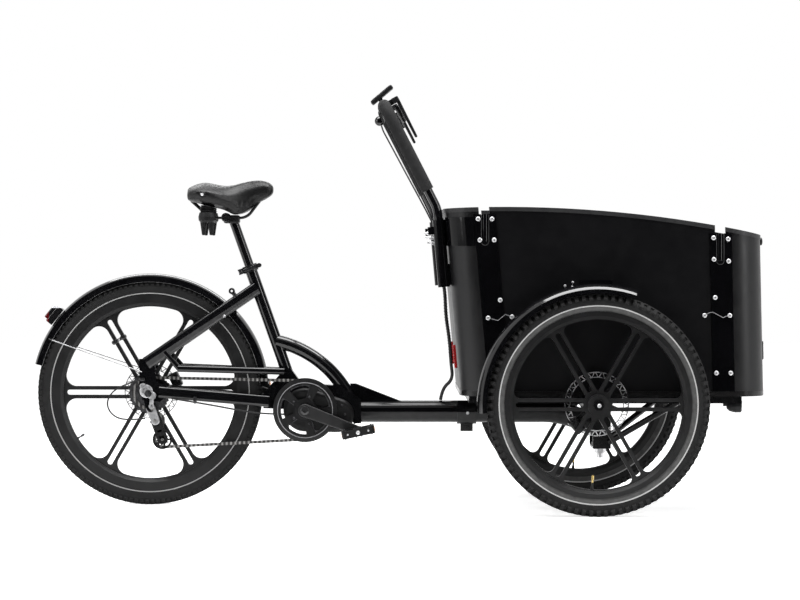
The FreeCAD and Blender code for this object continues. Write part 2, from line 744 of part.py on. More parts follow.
crank_tilt = math.radians(float(d.crank_drop))
crank_aim = Vector(math.cos(crank_tilt), 0, -math.sin(crank_tilt))
arm_y, arm_w, pedal_r = float(d.arm_y), 13.0, 6.0


def crank_arm(side):
    end = bb + crank_aim * (-side * float(d.crank_len))
    face = hull(bb, 19, end, 13) if side < 0 else hull_back(bb, 19, end, 13)
    low = side * arm_y - arm_w / 2
    arm = slab(face, low, low + arm_w)
    arm = arm.makeFillet(3.5, [e for e in arm.Edges if e.BoundBox.YLength < 0.1])
    bore = Part.makeCylinder(float(d.spindle_r), 60, Vector(bb.x, side * arm_y - 30, bb.z), axis_y)
    pin_from = side * arm_y
    pin = Part.makeCylinder(pedal_r, 92, Vector(end.x, pin_from, end.z), Vector(0, side, 0))
    return arm.cut(bore).fuse(pin)


def hull_back(first, first_r, last, last_r):
    """The same outline for an arm that points backwards."""
    turned = hull(first, first_r, first * 2 - last, last_r)
    return turned.rotated(first, axis_y, 180)


keep(group(spindle, solid(Part.Compound([crank_arm(-1), crank_arm(1)]))), "cranks")

pedal_long, pedal_wide, pedal_thick = 95, 84, 22


def pedal(side):
    """A flat pedal: a cage with two bays either side of its axle barrel."""
    end = bb + crank_aim * (-side * float(d.crank_len))
    near = side * (arm_y + arm_w / 2 + 1)
    middle = Vector(end.x, near + side * pedal_wide / 2, end.z)
    cage = soft_box((pedal_long, pedal_wide, pedal_thick),
                    (-pedal_long / 2, -pedal_wide / 2, -pedal_thick / 2), 9,
                    lambda e: e.BoundBox.ZLength > 20)
    bays = []
    for x in (-32, 13):
        for y in (-31, 4):
            bays.append(Part.makeBox(19, 27, 40, Vector(x, y, -20)))
    bays.append(Part.makeCylinder(pedal_r + float(d.run_gap), 200, Vector(0, -100, 0), axis_y))
    cage = cage.cut(bays)
    cage = cage.rotated(Vector(), axis_y, -12)
    cage.translate(middle)
    return solid(cage)


keep(pedal(-1), "pedal_right")
keep(pedal(1), "pedal_left")

# Rear axle, cassette, derailleur and chain

axle_end = d.dropout_y + d.dropout_w + 16
axle_rod = cylinder(d.axle_r, 2 * axle_end, (d.rear_axle_x, -axle_end, d.rear_tyre_r), along_y)


def hex_nut(across, height, at, turn):
    prism = doc.addObject("Part::Prism", "nut")
    prism.Polygon = 6
    prism.Circumradius = across / math.sqrt(3)
    prism.Height = height
    return place(prism, at, turn)


nut_y = d.dropout_y + d.dropout_w
nut = hex_nut(19, 10, (d.rear_axle_x, nut_y, d.rear_tyre_r), along_y)
keep(fuse(axle_rod, nut, mirrored(nut)), "rear_axle")

cog_step = 5.0
cogs = [(32, -2), (26, -1), (float(d.cog_teeth), 0), (18, 1), (15, 2), (13, 3)]
stack = None
for teeth, place_out in cogs:
    cog_at = (d.rear_axle_x, chain_line - place_out * cog_step, d.rear_tyre_r)
    cog = toothed_disc(teeth, 1.8, d.axle_r + d.run_gap, cog_at)
    stack = cog if stack is None else stack.fuse(cog)
spacer_low = float(chain_line) - 3 * cog_step
spacer = Part.makeCylinder(17, 5 * cog_step, point(d.rear_axle_x, spacer_low, d.rear_tyre_r), axis_y)
spacer = spacer.cut(Part.makeCylinder(float(d.axle_r + d.run_gap), 60,
                                      point(d.rear_axle_x, spacer_low - 10, d.rear_tyre_r), axis_y))
keep(solid(stack.fuse(spacer)), "cassette")

upper_pulley = point(d.rear_axle_x + 20, chain_line, d.rear_tyre_r - 80)
lower_pulley = point(d.rear_axle_x + 39, chain_line, d.rear_tyre_r - 134)
pin_r = 2.5
for name, centre in (("upper_pulley", upper_pulley), ("lower_pulley", lower_pulley)):
    disc = toothed_disc(d.pulley_teeth, 2.2, pin_r + float(d.run_gap), centre)
    keep(solid(disc), name)


def tangent(first, first_r, first_way, last, last_r, last_way):
    """The run of a chain that leaves one sprocket and joins the next; way is 1 for clockwise."""
    chord = last - first
    gap = math.hypot(chord.x, chord.z)
    aim = math.atan2(chord.z, chord.x)
    swing = math.asin((first_way * first_r - last_way * last_r) / gap)
    normal = aim + math.pi / 2 - swing
    lift = Vector(math.cos(normal), 0, math.sin(normal))
    return first + lift * (first_way * first_r), last + lift * (last_way * last_r)


hub_point = point(d.rear_axle_x, chain_line, d.rear_tyre_r)
ring_point = point(*ring_at)
sprockets = [(hub_point, pitch_radius(d.cog_teeth), 1), (ring_point, pitch_radius(d.ring_teeth), 1),
             (lower_pulley, pitch_radius(d.pulley_teeth), 1),
             (upper_pulley, pitch_radius(d.pulley_teeth), -1)]


def chain_route():
    """Straight runs and wraps round the four sprockets, as a closed wire at the chain line."""
    runs = []
    for index, (centre, radius, way) in enumerate(sprockets):
        after, after_r, after_way = sprockets[(index + 1) % len(sprockets)]
        runs.append(tangent(centre, radius, way, after, after_r, after_way))
    edges = []
    for index, (start, end) in enumerate(runs):
        edges.append(Part.makeLine(start, end))
        centre, radius, way = sprockets[(index + 1) % len(sprockets)]
        leave = runs[(index + 1) % len(runs)][0]
        from_angle = math.atan2(end.z - centre.z, end.x - centre.x)
        to_angle = math.atan2(leave.z - centre.z, leave.x - centre.x)
        sweep = way * ((way * (from_angle - to_angle)) % (2 * math.pi))
        mid = from_angle - sweep / 2
        middle = centre + Vector(math.cos(mid), 0, math.sin(mid)) * radius
        edges.append(Part.Arc(end, middle, leave).toShape())
    return Part.Wire(edges)


def link_plate(length, low, high):
    ends = 4.1
    return slab(hull(Vector(), ends, Vector(length, 0, 0), ends - 0.001), low, high)


def chain_link(length, outer):
    """One link: two plates, with rollers between inner plates or pins through outer ones."""
    low, high = (2.4, 3.3) if outer else (1.35, 2.25)
    plates = link_plate(length, low, high).fuse(link_plate(length, -high, -low))
    for x in (0, length):
        reach, radius = (3.7, 1.7) if outer else (high, roller_r)
        plates = plates.fuse(Part.makeCylinder(radius, 2 * reach, Vector(x, -reach, 0), axis_y))
    if not outer:
        for x in (0, length):
            plates = plates.cut(Part.makeCylinder(1.85, 20, Vector(x, -10, 0), axis_y))
    return plates


route = chain_route()
link_count = 2 * round(route.Length / float(d.pitch) / 2)
joints = route.discretize(Number=link_count + 1)
links = []
for index in range(link_count):
    start, end = joints[index], joints[index + 1]
    run = end - start
    link = chain_link(run.Length, index % 2 == 0)
    link.Placement = Placement(start, Rotation(axis_y, -math.degrees(math.atan2(run.z, run.x))))
    links.append(link)
print("chain links", link_count, "pitch %.3f" % (route.Length / link_count))
keep(solid(Part.Compound(links)), "chain")

cage_out, cage_in, cage_w = 5.2, 4.6, 2.0
cage_face = hull(upper_pulley, 15, lower_pulley, 14.9)
cage_face.translate(Vector(0, -upper_pulley.y, 0))
outer_cage = slab(cage_face, float(chain_line) - cage_out - cage_w, float(chain_line) - cage_out)
inner_cage = slab(cage_face, float(chain_line) + cage_in, float(chain_line) + cage_in + cage_w)
pins = []
for centre in (upper_pulley, lower_pulley):
    pins.append(Part.makeCylinder(pin_r, cage_out + cage_in + 2 * cage_w,
                                  Vector(centre.x, float(chain_line) - cage_out - cage_w, centre.z), axis_y))
cage = solid(outer_cage.fuse([inner_cage] + pins))

knuckle_y = float(d.dropout_y)
knuckle = point(d.rear_axle_x + 6, -knuckle_y, d.rear_tyre_r - 43)
hanger = slab(hull(point(d.rear_axle_x, 0, d.rear_tyre_r - 20), 13, Vector(knuckle.x, 0, knuckle.z), 11),
              -knuckle_y - float(d.dropout_w), -knuckle_y)
body_face = hull(Vector(knuckle.x, 0, knuckle.z), 13, Vector(upper_pulley.x, 0, upper_pulley.z), 12)
body_shape = slab(body_face, -knuckle_y - 5, float(chain_line) - cage_out - cage_w)
body_shape = body_shape.makeFillet(3, [e for e in body_shape.Edges if e.BoundBox.YLength < 0.1])
hanger_feature = cut(solid(hanger), dropout)
keep(group(dropout, mirrored(dropout), hanger_feature), "dropouts")
keep(group(cut(solid(body_shape), solid(hanger)), cage), "derailleur")

# Rear brake caliper, mudguard, wire stays and tail lamp


def caliper(centre, disc_y, outward):
    """A two-piston caliper: a rounded block slotted for the disc, a piston boss on each side."""
    shape = soft_box((44, 40, 30), (-22, -20, -15), 5, lambda e: True)
    boss = Part.makeCylinder(12, 50, Vector(0, -25, 0), axis_y)
    shape = shape.fuse(boss)
    slot = Part.makeBox(60, 3.4, 60, Vector(-30, -1.7, -60 + 9))
    shape = shape.cut(slot)
    shape = shape.rotated(Vector(), axis_y, outward)
    shape.translate(Vector(centre.x, disc_y, centre.z))
    return shape


rear_caliper_at = point(d.rear_axle_x, 0, d.rear_tyre_r) + Vector(70, 0, 34)
rear_disc_mid = rear_disc_y + float(d.rotor_w) / 2 - 1
keep(cut(solid(caliper(rear_caliper_at, rear_disc_mid, 64)), mirrored(upper_stay), mirrored(chain_stay),
         mirrored(dropout)), "rear_caliper")


def mudguard(radius, half, skirt, first, last, at):
    """A rolled guard: a crowned strip with short skirts, swept from one angle to another."""
    sheet_t, drop = 2.0, 7.0
    outer = Part.Arc(Vector(radius - drop, -half, 0), Vector(radius, 0, 0), Vector(radius - drop, half, 0))
    inner = Part.Arc(Vector(radius - drop - sheet_t / 2, half - sheet_t, 0), Vector(radius - sheet_t, 0, 0),
                     Vector(radius - drop - sheet_t / 2, sheet_t - half, 0))
    low = radius - drop - skirt
    corners = [(radius - drop, half), (low, half), (low, half - sheet_t),
               (radius - drop - sheet_t / 2, half - sheet_t)]
    right = [Part.makeLine(point(a[0], a[1], 0), point(b[0], b[1], 0)) for a, b in zip(corners, corners[1:])]
    left = [Part.makeLine(point(a[0], -a[1], 0), point(b[0], -b[1], 0)) for a, b in zip(corners, corners[1:])]
    section = Part.Face(Part.Wire(Part.__sortEdges__([outer.toShape(), inner.toShape()] + right + left)))
    section = section.rotated(Vector(), axis_y, -first)
    return place(solid(section.revolve(Vector(), axis_y, -(last - first))), at)


rear_guard_half = 27.5
rear_skirt = 18
rear_guard = mudguard(float(d.rear_guard_r), rear_guard_half, rear_skirt, 4, 166, rear_axle)
tip_angle = math.radians(152)
tip_r = float(d.rear_guard_r) - 14
wire_r = 1.6
wire_tip = point(*rear_axle) + Vector(math.cos(tip_angle) * tip_r, -rear_guard_half - wire_r - 0.1,
                                      math.sin(tip_angle) * tip_r)
wire_eye = point(d.rear_axle_x - 18, -(d.dropout_y + d.dropout_w + wire_r + 0.1), d.rear_tyre_r + 62)
stay_wire = Part.Wire([Part.makeLine(wire_eye, wire_tip)])
stay_wires = pair(cut(solid(round_pipe(stay_wire, wire_r)), dropout))
keep(group(cut(rear_guard, seat_stay, mirrored(seat_stay)), stay_wires), "rear_mudguard")

lamp_angle = 141
lamp_turn = Rotation(axis_y, -lamp_angle)
lamp_at = float(d.rear_guard_r) + 0.3
lamp_box = soft_box((22, 34, 56), (lamp_at, -17, -28), 5, lambda e: e.BoundBox.XMin > lamp_at + 20)
lens_box = soft_box((10, 30, 44), (lamp_at + 22, -15, -22), 4, lambda e: e.BoundBox.XMin > lamp_at + 31)
keep(group(place(solid(lamp_box), rear_axle, lamp_turn), place(solid(lens_box), rear_axle, lamp_turn)),
     "tail_lamp")

# Seat: post, clamp with its lever, and a sprung saddle

seat_top = seat_point(d.seat_tube_len)
collar_h = 20
collar_at = seat_point(d.seat_tube_len - collar_h)
collar = tube(d.seat_tube_r + 4.5, d.seat_tube_r, collar_h, tuple(collar_at), seat_turn)
cam_x, cam_y, cam_z, cam_r, cam_pin = -28.5, -28, 10, 6, 3.1
ear_half, lug_h = 9, 4
ear = Part.makeBox(21, 2 * ear_half, 2 * (cam_z - 2), Vector(cam_x - 6.5, -ear_half, 2))
lug = Part.makeBox(13, -cam_y - ear_half + cam_r, lug_h, Vector(cam_x - 6.5, cam_y - cam_r, 2))
high_lug = lug.translated(Vector(0, 0, 2 * (cam_z - 2) - lug_h))
cam_hole = Part.makeCylinder(cam_pin + 0.1, 40, Vector(cam_x, cam_y, cam_z - 20))
clamp_lugs = solid(ear.fuse([lug, high_lug]).cut(cam_hole))
keep(cut(fuse(collar, place(clamp_lugs, tuple(collar_at), seat_turn)),
         cylinder(d.seat_tube_r, collar_h, tuple(collar_at), seat_turn)), "seat_clamp")
cam_gap = 0.4
barrel_h = 2 * (cam_z - 2 - lug_h - cam_gap)
lever_shape = Part.makeCylinder(cam_pin, 2 * (cam_z - 2), Vector(cam_x, cam_y, 2))
lever_shape = lever_shape.fuse(Part.makeCylinder(cam_r, barrel_h, Vector(cam_x, cam_y, cam_z - barrel_h / 2)))
blade_root = barrel_h / 2 - cam_gap
blade = slab(hull(Vector(cam_x, 0, cam_z), blade_root, Vector(29, 0, cam_z), 6.5), cam_y - 3, cam_y + 3)
lever_shape = lever_shape.fuse(blade.makeFillet(1.4, [e for e in blade.Edges if e.BoundBox.YLength < 0.1]))
keep(place(solid(lever_shape), tuple(collar_at), seat_turn), "seat_clamp_lever")

post_top = seat_top + seat_axis * float(d.post_show)
post_foot = post_top - seat_axis * float(d.post_len)
keep(cylinder(d.post_r, d.post_len, tuple(post_foot), seat_turn), "seat_post")

saddle_rows = [(-133, 52, 82, 56), (-124, 84, 95, 50), (-90, 96, 105, 45), (-50, 90, 100, 35),
               (-8, 66, 96, 24), (28, 46, 105, 18), (46, 40, 109, 28), (64, 36, 113, 46), (92, 32, 115, 64),
               (112, 25, 107, 72), (121, 12, 98, 80)]


def saddle_section(along, half, top, low):
    """A crowned section with drawn-in sides, square to the length of the saddle."""
    brow = low + (top - low) * 0.62
    waist = half * 0.86
    x, z = post_top.x + along, post_top.z
    left, right = Vector(x, half, z + brow), Vector(x, -half, z + brow)
    foot_left, foot_right = Vector(x, waist, z + low), Vector(x, -waist, z + low)
    side = Vector(0, half * 0.97, 0)
    mid_z = z + low + (brow - low) * 0.5
    return Part.Wire([
        Part.Arc(left, Vector(x, 0, z + top), right).toShape(),
        Part.Arc(right, Vector(x, -side.y, mid_z), foot_right).toShape(),
        Part.makeLine(foot_right, foot_left),
        Part.Arc(foot_left, Vector(x, side.y, mid_z), left).toShape()])


pad_sections = [saddle_section(*row) for row in saddle_rows]
saddle_shape = Part.makeLoft(pad_sections, True, False)
keep(solid(saddle_shape), "saddle_pad")
clamp_shape = soft_box((46, 58, 24), post_top + Vector(-26, -29, -12), 6, lambda e: True)
rail_r, rail_y = 3.5, 21
rail_z = post_top.z + 4
rail_tail_end = post_top + Vector(saddle_rows[1][0] + 6, -48, saddle_rows[1][3] + 2)
rail_nose = post_top + Vector(saddle_rows[8][0] - 4, -8, saddle_rows[8][3] + 2)
rail_path = wire([rail_tail_end, Vector(post_top.x - 66, -rail_y, rail_z),
                  Vector(post_top.x + 40, -rail_y, rail_z), rail_nose], [30, 40])
rail = round_pipe(rail_path, rail_r).cut(saddle_shape)
spring_along, spring_y, spring_top = -71, -58, 40
bellows = [(0, 0), (20, 0), (25, 6), (26, 16), (23, 28), (19, 31), (22, 34), (18, 36), (22, 39), (18, 41),
           (22, 44), (18, 47), (20, 50), (0, 50)]
spring_h = bellows[-1][1]
bellow = face_of([(r, 0, z) for r, z in bellows]).revolve(Vector(), Vector(0, 0, 1), 360)
prong_r, prong_tip, prong_len, prong_off = 10, 4.5, 38, 11
prong = Part.makeCone(prong_tip, prong_r, prong_len, Vector(0, 0, -prong_len))
prong = prong.makeFillet(3, [e for e in prong.Edges if e.BoundBox.ZMax < 1 - prong_len])
bellow = bellow.fuse([prong.translated(Vector(-prong_off, 0, 1)), prong.translated(Vector(prong_off, 0, 1))])
bellow.translate(post_top + Vector(spring_along, spring_y, spring_top - spring_h))
bellow = bellow.cut(saddle_shape)


def both(shape):
    """The shape and its mirror image across the centre plane."""
    return [shape, shape.mirror(Vector(), axis_y)]


post_core = cylinder(d.post_r, d.post_len, tuple(post_foot), seat_turn)
rail_cut = [Part.makeCylinder(rail_r, 300, Vector(post_top.x - 150, y, rail_z), Vector(1, 0, 0))
            for y in (-rail_y, rail_y)]
saddle_clamp = cut(solid(clamp_shape.cut(rail_cut)), post_core)
keep(group(saddle_clamp, solid(Part.Compound(both(rail) + both(bellow.cut(rail))))), "saddle_frame")

# Front chassis: axle beam with its steering yoke and stub axles, rails, floor

beam_w = d.axle_beam_h
stub_end = d.half_track + 52
inner_end = d.half_track - front_disc_in - 14
axle_tube = block((beam_w, 2 * inner_end, d.axle_beam_h),
                  (front_axle_x - beam_w / 2, -inner_end, d.axle_beam_z))
wall = d.plate_w / 2
axle_hollow = block((beam_w - 2 * wall, 2 * inner_end - 2 * wall, d.axle_beam_h - 2 * wall),
                    (front_axle_x - beam_w / 2 + wall, -inner_end + wall, d.axle_beam_z + wall))
stub = cylinder(d.stub_r, stub_end - inner_end + wall,
                (front_axle_x, inner_end - wall, d.front_tyre_r), along_y)
leg_half, leg_y = 26, 60
yoke_top = block((2 * leg_half + 28, 2 * leg_y + 2 * d.plate_w, d.plate_w),
                 (kingpin_x - leg_half - 28, -leg_y - d.plate_w, d.axle_beam_z - d.plate_w))
yoke_foot_z = d.axle_beam_z - d.fork_drop - d.plate_w
yoke_leg = block((2 * leg_half, d.plate_w, d.fork_drop - d.plate_w),
                 (kingpin_x - leg_half, leg_y, d.axle_beam_z - d.fork_drop))
yoke_foot = block((2 * leg_half, 2 * leg_y + 2 * d.plate_w, d.plate_w),
                  (kingpin_x - leg_half, -leg_y - d.plate_w, yoke_foot_z))
kingpin_hole = cylinder(d.kingpin_r, 400, (kingpin_x, 0, 0))
axle_weldment = cut(fuse(cut(axle_tube, axle_hollow), stub, mirrored(stub), yoke_top, yoke_leg,
                         mirrored(yoke_leg), yoke_foot), kingpin_hole)
pin_low = 136
shank = cylinder(d.kingpin_r, d.axle_beam_z - pin_low, (kingpin_x, 0, pin_low))
cap = hex_nut(30, 7, (kingpin_x, 0, d.axle_beam_z), level)
lock_nut = hex_nut(30, 16, (kingpin_x, 0, yoke_foot_z - 16), level)
keep(cut(fuse(shank, cap, lock_nut), axle_tube), "kingpin")
axle_nut = hex_nut(26, 12, (front_axle_x, d.half_track + 36.4, d.front_tyre_r), along_y)
bored_nut = cut(axle_nut, cylinder(d.stub_r, 60, (front_axle_x, d.half_track, d.front_tyre_r), along_y))
keep(group(axle_weldment, pair(bored_nut)), "axle_beam")

rail_h, rail_w, rail_y0 = 24, 30, 196
rail_base = d.floor_z - d.floor_w - rail_h
rail_tail, rail_nose_x = d.box_tail_x + 26, d.box_nose_x - 60
rear_rail = block((front_axle_x - beam_w / 2 - rail_tail, rail_w, rail_h), (rail_tail, rail_y0, rail_base))
nose_rail = block((rail_nose_x - front_axle_x - beam_w / 2, rail_w, rail_h),
                  (front_axle_x + beam_w / 2, rail_y0, rail_base))
tail_cross = block((rail_w, 2 * rail_y0, rail_h), (rail_tail, -rail_y0, rail_base))
nose_cross = block((rail_w, 2 * rail_y0, rail_h), (rail_nose_x - rail_w, -rail_y0, rail_base))
brace_r = 9
brace_from = point(kingpin_x + leg_half - 4, leg_y + 3, d.axle_beam_z - d.fork_drop + 14)
brace_to = point(kingpin_x + 208, rail_y0 + rail_w / 2, rail_base + 6)
nose_brace = solid(round_pipe(Part.Wire([Part.makeLine(brace_from, brace_to)]), brace_r))
nose_brace = cut(nose_brace, nose_rail, yoke_leg)
rail_frame = fuse(rear_rail, mirrored(rear_rail), nose_rail, mirrored(nose_rail), tail_cross, nose_cross)
keep(group(rail_frame, pair(nose_brace)), "chassis_rails")

# Box: plywood floor and panels, edge trims, corner straps, canopy pole sockets and bolts

tail_tan = math.tan(math.radians(float(d.tail_lean)))
nose_tan = math.tan(math.radians(float(d.nose_lean)))
trim_spare = 100
rise = d.top_z - d.floor_z + trim_spare
gap_half = 15
mark_z = d.top_z - 41
tail_joint = d.socket_tail_x + (mark_z - d.floor_z) * tail_tan
nose_joint = d.socket_nose_x + (mark_z - d.floor_z) * nose_tan


def curved_wall(outer, inner, joint, end, lean_tan):
    """A panel that wraps one end of the box: a U in plan, drawn up along its lean."""
    half_out, half_in = d.box_half + outer, d.box_half - inner
    way = -1 if float(end) < float(joint) else 1
    far_out, far_in = end + way * outer, end - way * inner
    bend_out, bend_in = d.box_corner + outer, d.box_corner - inner
    sketch = doc.addObject("Sketcher::SketchObject", "plan")
    bow = -1 if way > 0 else 1
    draw(sketch, [[
        (joint, -half_out), (far_out - way * bend_out, -half_out, bow * bend_out),
        (far_out, bend_out - half_out), (far_out, half_out - bend_out, bow * bend_out),
        (far_out - way * bend_out, half_out), (joint, half_out), (joint, half_in),
        (far_in - way * bend_in, half_in, -bow * bend_in), (far_in, half_in - bend_in),
        (far_in, bend_in - half_in, -bow * bend_in), (far_in - way * bend_in, -half_in), (joint, -half_in)]])
    place(sketch, (0, 0, d.floor_z))
    panel = doc.addObject("Part::Extrusion", "panel")
    panel.Base = sketch
    panel.DirMode = "Custom"
    panel.Dir = Vector(-lean_tan, 0, 1)
    bind(panel, "LengthFwd", rise * math.hypot(1, lean_tan))
    panel.Solid = True
    return panel


def side_wall(outer, inner):
    """A flat side panel between the corner joints, leaning as they do."""
    low, high = d.floor_z, d.floor_z + rise
    start, end = tail_joint + gap_half, nose_joint - gap_half
    loop = [(start, low), (end, low), (end - rise * nose_tan, high), (start - rise * tail_tan, high)]
    return plate([loop], inner + outer, (0, -d.box_half + (inner - outer) / 2, 0))


def top_cylinder(radius):
    return cylinder(radius, 900, (d.top_x, -450, d.top_z - d.top_bend), along_y)


panel_top = d.top_bend - d.trim_h
panel_wall = d.box_wall
proud = d.trim_proud
keep(pair(common(side_wall(0, panel_wall), top_cylinder(panel_top))), "box_side_panels")
tail_wall = curved_wall(0, panel_wall, tail_joint - gap_half, d.box_tail_x, tail_tan)
nose_wall = curved_wall(0, panel_wall, nose_joint + gap_half, d.box_nose_x, nose_tan)
keep(common(tail_wall, top_cylinder(panel_top)), "box_rear_panel")
keep(common(nose_wall, top_cylinder(panel_top)), "box_front_panel")
edge_band = cut(top_cylinder(d.top_bend), top_cylinder(panel_top))
side_trim = common(side_wall(proud, panel_wall + proud), edge_band)
tail_rim = curved_wall(proud, panel_wall + proud, tail_joint - gap_half, d.box_tail_x, tail_tan)
nose_rim = curved_wall(proud, panel_wall + proud, nose_joint + gap_half, d.box_nose_x, nose_tan)
tail_trim, nose_trim = common(tail_rim, edge_band), common(nose_rim, edge_band)
keep(group(pair(side_trim), tail_trim, nose_trim), "edge_trims")

tray = 1
floor_half = d.box_half + tray
floor_bend = d.box_corner + tray
tail_edge, nose_edge = d.box_tail_x - tray, d.box_nose_x + tray
floor = plate([[(tail_edge + floor_bend, -floor_half), (nose_edge - floor_bend, -floor_half, -floor_bend),
                (nose_edge, floor_bend - floor_half), (nose_edge, floor_half - floor_bend, -floor_bend),
                (nose_edge - floor_bend, floor_half), (tail_edge + floor_bend, floor_half, -floor_bend),
                (tail_edge, floor_half - floor_bend), (tail_edge, floor_bend - floor_half, -floor_bend)]],
              d.floor_w, (0, 0, d.floor_z - d.floor_w / 2), level, "XY_Plane")
keep(floor, "box_floor")


def strap(joint, lean_tan, top):
    """A flat strap over a corner joint, with a notch at its top for the canopy pole socket."""
    low = d.floor_z
    half, notch = d.strap_w / 2, d.socket_r + 0.5

    def leaning(z, off):
        return (joint - (z - low) * lean_tan + off, z)

    notch_z = top - d.socket_len - 2
    loop = [leaning(low, -half), leaning(low, half), leaning(top, half), leaning(top, notch),
            leaning(notch_z, notch), leaning(notch_z, -notch), leaning(top, -notch), leaning(top, -half)]
    return plate([loop], d.strap_t, (0, -(d.box_half + d.strap_t / 2), 0))


def edge_height(x):
    """Height of the box edge at a place along it."""
    off = float(x) - float(d.top_x)
    return float(d.top_z) - float(d.top_bend) + math.sqrt(float(d.top_bend) ** 2 - off * off)


def pole_socket(x, top):
    """A blind tube for a canopy pole, standing in the notch of a strap."""
    at = (x, -(d.box_half - d.socket_r + d.strap_t), top - d.socket_len)
    shell = cylinder(d.socket_r, d.socket_len, at)
    bore = cylinder(d.socket_bore, d.socket_len - 6, (at[0], at[1], at[2] + 6))
    return cut(shell, bore)


tail_top = edge_height(d.socket_tail_x) - float(d.trim_h) - 8
nose_top = edge_height(d.socket_nose_x) - float(d.trim_h) - 8
straps, sockets = [], []
for joint, lean_tan, top, x in ((tail_joint, tail_tan, tail_top, d.socket_tail_x),
                                (nose_joint, nose_tan, nose_top, d.socket_nose_x)):
    one, hole = strap(joint, lean_tan, top), pole_socket(x, top)
    straps.append(pair(one))
    sockets.append(pair(cut(hole, one)))
keep(group(*straps, *sockets), "corner_straps")


def along_joint(joint, lean_tan, z, off):
    """A place along the length, beside a corner joint at that height."""
    return float(joint) - (z - float(d.floor_z)) * lean_tan + off


bolt_rows = [(tail_joint, tail_tan, ((-19, 827), (20, 827), (-19, 768), (21, 768), (23, 600),
                                     (-15, 550), (52, 553), (-20, 396), (20, 396))),
             (nose_joint, nose_tan, ((-20, 774), (21, 771), (-20, 714), (21, 709), (-19, 607),
                                     (-49, 557), (21, 557), (-20, 396), (20, 396)))]
bolt_h = 4
dome = Part.makeCylinder(float(d.bolt_r), bolt_h, Vector(), Vector(0, -1, 0))
dome = dome.makeFillet(2.4, [e for e in dome.Edges if e.BoundBox.YMax < -bolt_h + 0.1])
bolts = []
for joint, lean_tan, places in bolt_rows:
    for off, z in places:
        on_strap = abs(off) < float(d.strap_w) / 2
        face_y = -float(d.box_half) - (float(d.strap_t) if on_strap else 0)
        bolts.append(dome.translated(Vector(along_joint(joint, lean_tan, z, off), face_y, z)))
keep(pair(solid(Part.Compound(bolts))), "panel_bolts")

# Handlebar: a band round the back of the box with two guide sleeves, and the sliding bar

band_low, band_high = 752, 832
band_wall = curved_wall(d.strap_t, 0, tail_joint, d.box_tail_x, tail_tan)
band = common(band_wall, block((400, 900, band_high - band_low), (0, -450, band_low)))
band_end = tail_joint - d.strap_w / 2 - 0.5
band_end_low, band_end_high = (band_end - (z - d.floor_z) * tail_tan for z in (band_low, band_high))
beyond_band = plate([[(band_end_low, band_low), (400, band_low), (400, band_high),
                      (band_end_high, band_high)]], 900, (0, 0, 0))
band = cut(band, beyond_band)
sleeve_wall = 4
sleeve_r = d.bar_r + d.run_gap + sleeve_wall
corner_y = float(d.box_half) - float(d.box_corner)
reach = float(d.box_corner + d.strap_t + sleeve_r) + 0.1
back_off = math.sqrt(reach ** 2 - (float(d.bar_half) - corner_y) ** 2) - float(d.box_corner)


def sleeve_x(z):
    """Where a guide sleeve stands behind the leaning rear panel."""
    return float(d.box_tail_x) - (z - float(d.floor_z)) * tail_tan - back_off


sleeve_axis = Vector(-tail_tan, 0, 1).normalize()
sleeve_turn = Rotation(Vector(0, 0, 1), sleeve_axis)
sleeve_foot = point(sleeve_x(float(d.sleeve_foot_z)), -d.bar_half, d.sleeve_foot_z)
sleeve = tube(sleeve_r, d.bar_r + d.run_gap, d.sleeve_len, tuple(sleeve_foot), sleeve_turn)
lug = solid(Part.makeBox(18, 14, 22, Vector(-float(sleeve_r) - 15, -7, 150)))
sleeve_core = cylinder(sleeve_r - 1, d.sleeve_len, tuple(sleeve_foot), sleeve_turn)
lug = cut(place(lug, tuple(sleeve_foot), sleeve_turn), sleeve_core)
tab = solid(Part.makeBox(9, 16, 60, Vector(float(sleeve_r) - 4, -8, 4)))
tab = place(tab, tuple(sleeve_foot), sleeve_turn)
tab = cut(tab, sleeve_core, tail_wall)
guide_sleeves = pair(fuse(sleeve, lug, tab))

bend_z = 856
bar_foot = sleeve_foot + sleeve_axis * 2
bar_bend = point(sleeve_x(bend_z), -d.bar_half, bend_z)
bar_corner = point(d.bar_top_x, -d.bar_half, d.bar_top_z)


def opposite(v):
    return Vector(v.x, -v.y, v.z)


corner_r = 42
bar_path = wire([bar_foot, bar_bend, bar_corner, opposite(bar_corner), opposite(bar_bend),
                 opposite(bar_foot)], [90, corner_r, corner_r, 90])
keep(solid(hollow_pipe(bar_path, d.bar_r, 2.5)), "handlebar_tube")
down = (bar_bend - bar_corner).normalize()
front = Vector(-down.z, 0, down.x)
front = front if front.x > 0 else front * -1
grip_path = wire([bar_corner + Vector(0, corner_r + 1, 0), bar_corner, bar_corner + down * float(d.grip_len)],
                 [corner_r])
keep(pair(solid(hollow_pipe(grip_path, d.grip_r, d.grip_r - d.bar_r))), "grips")

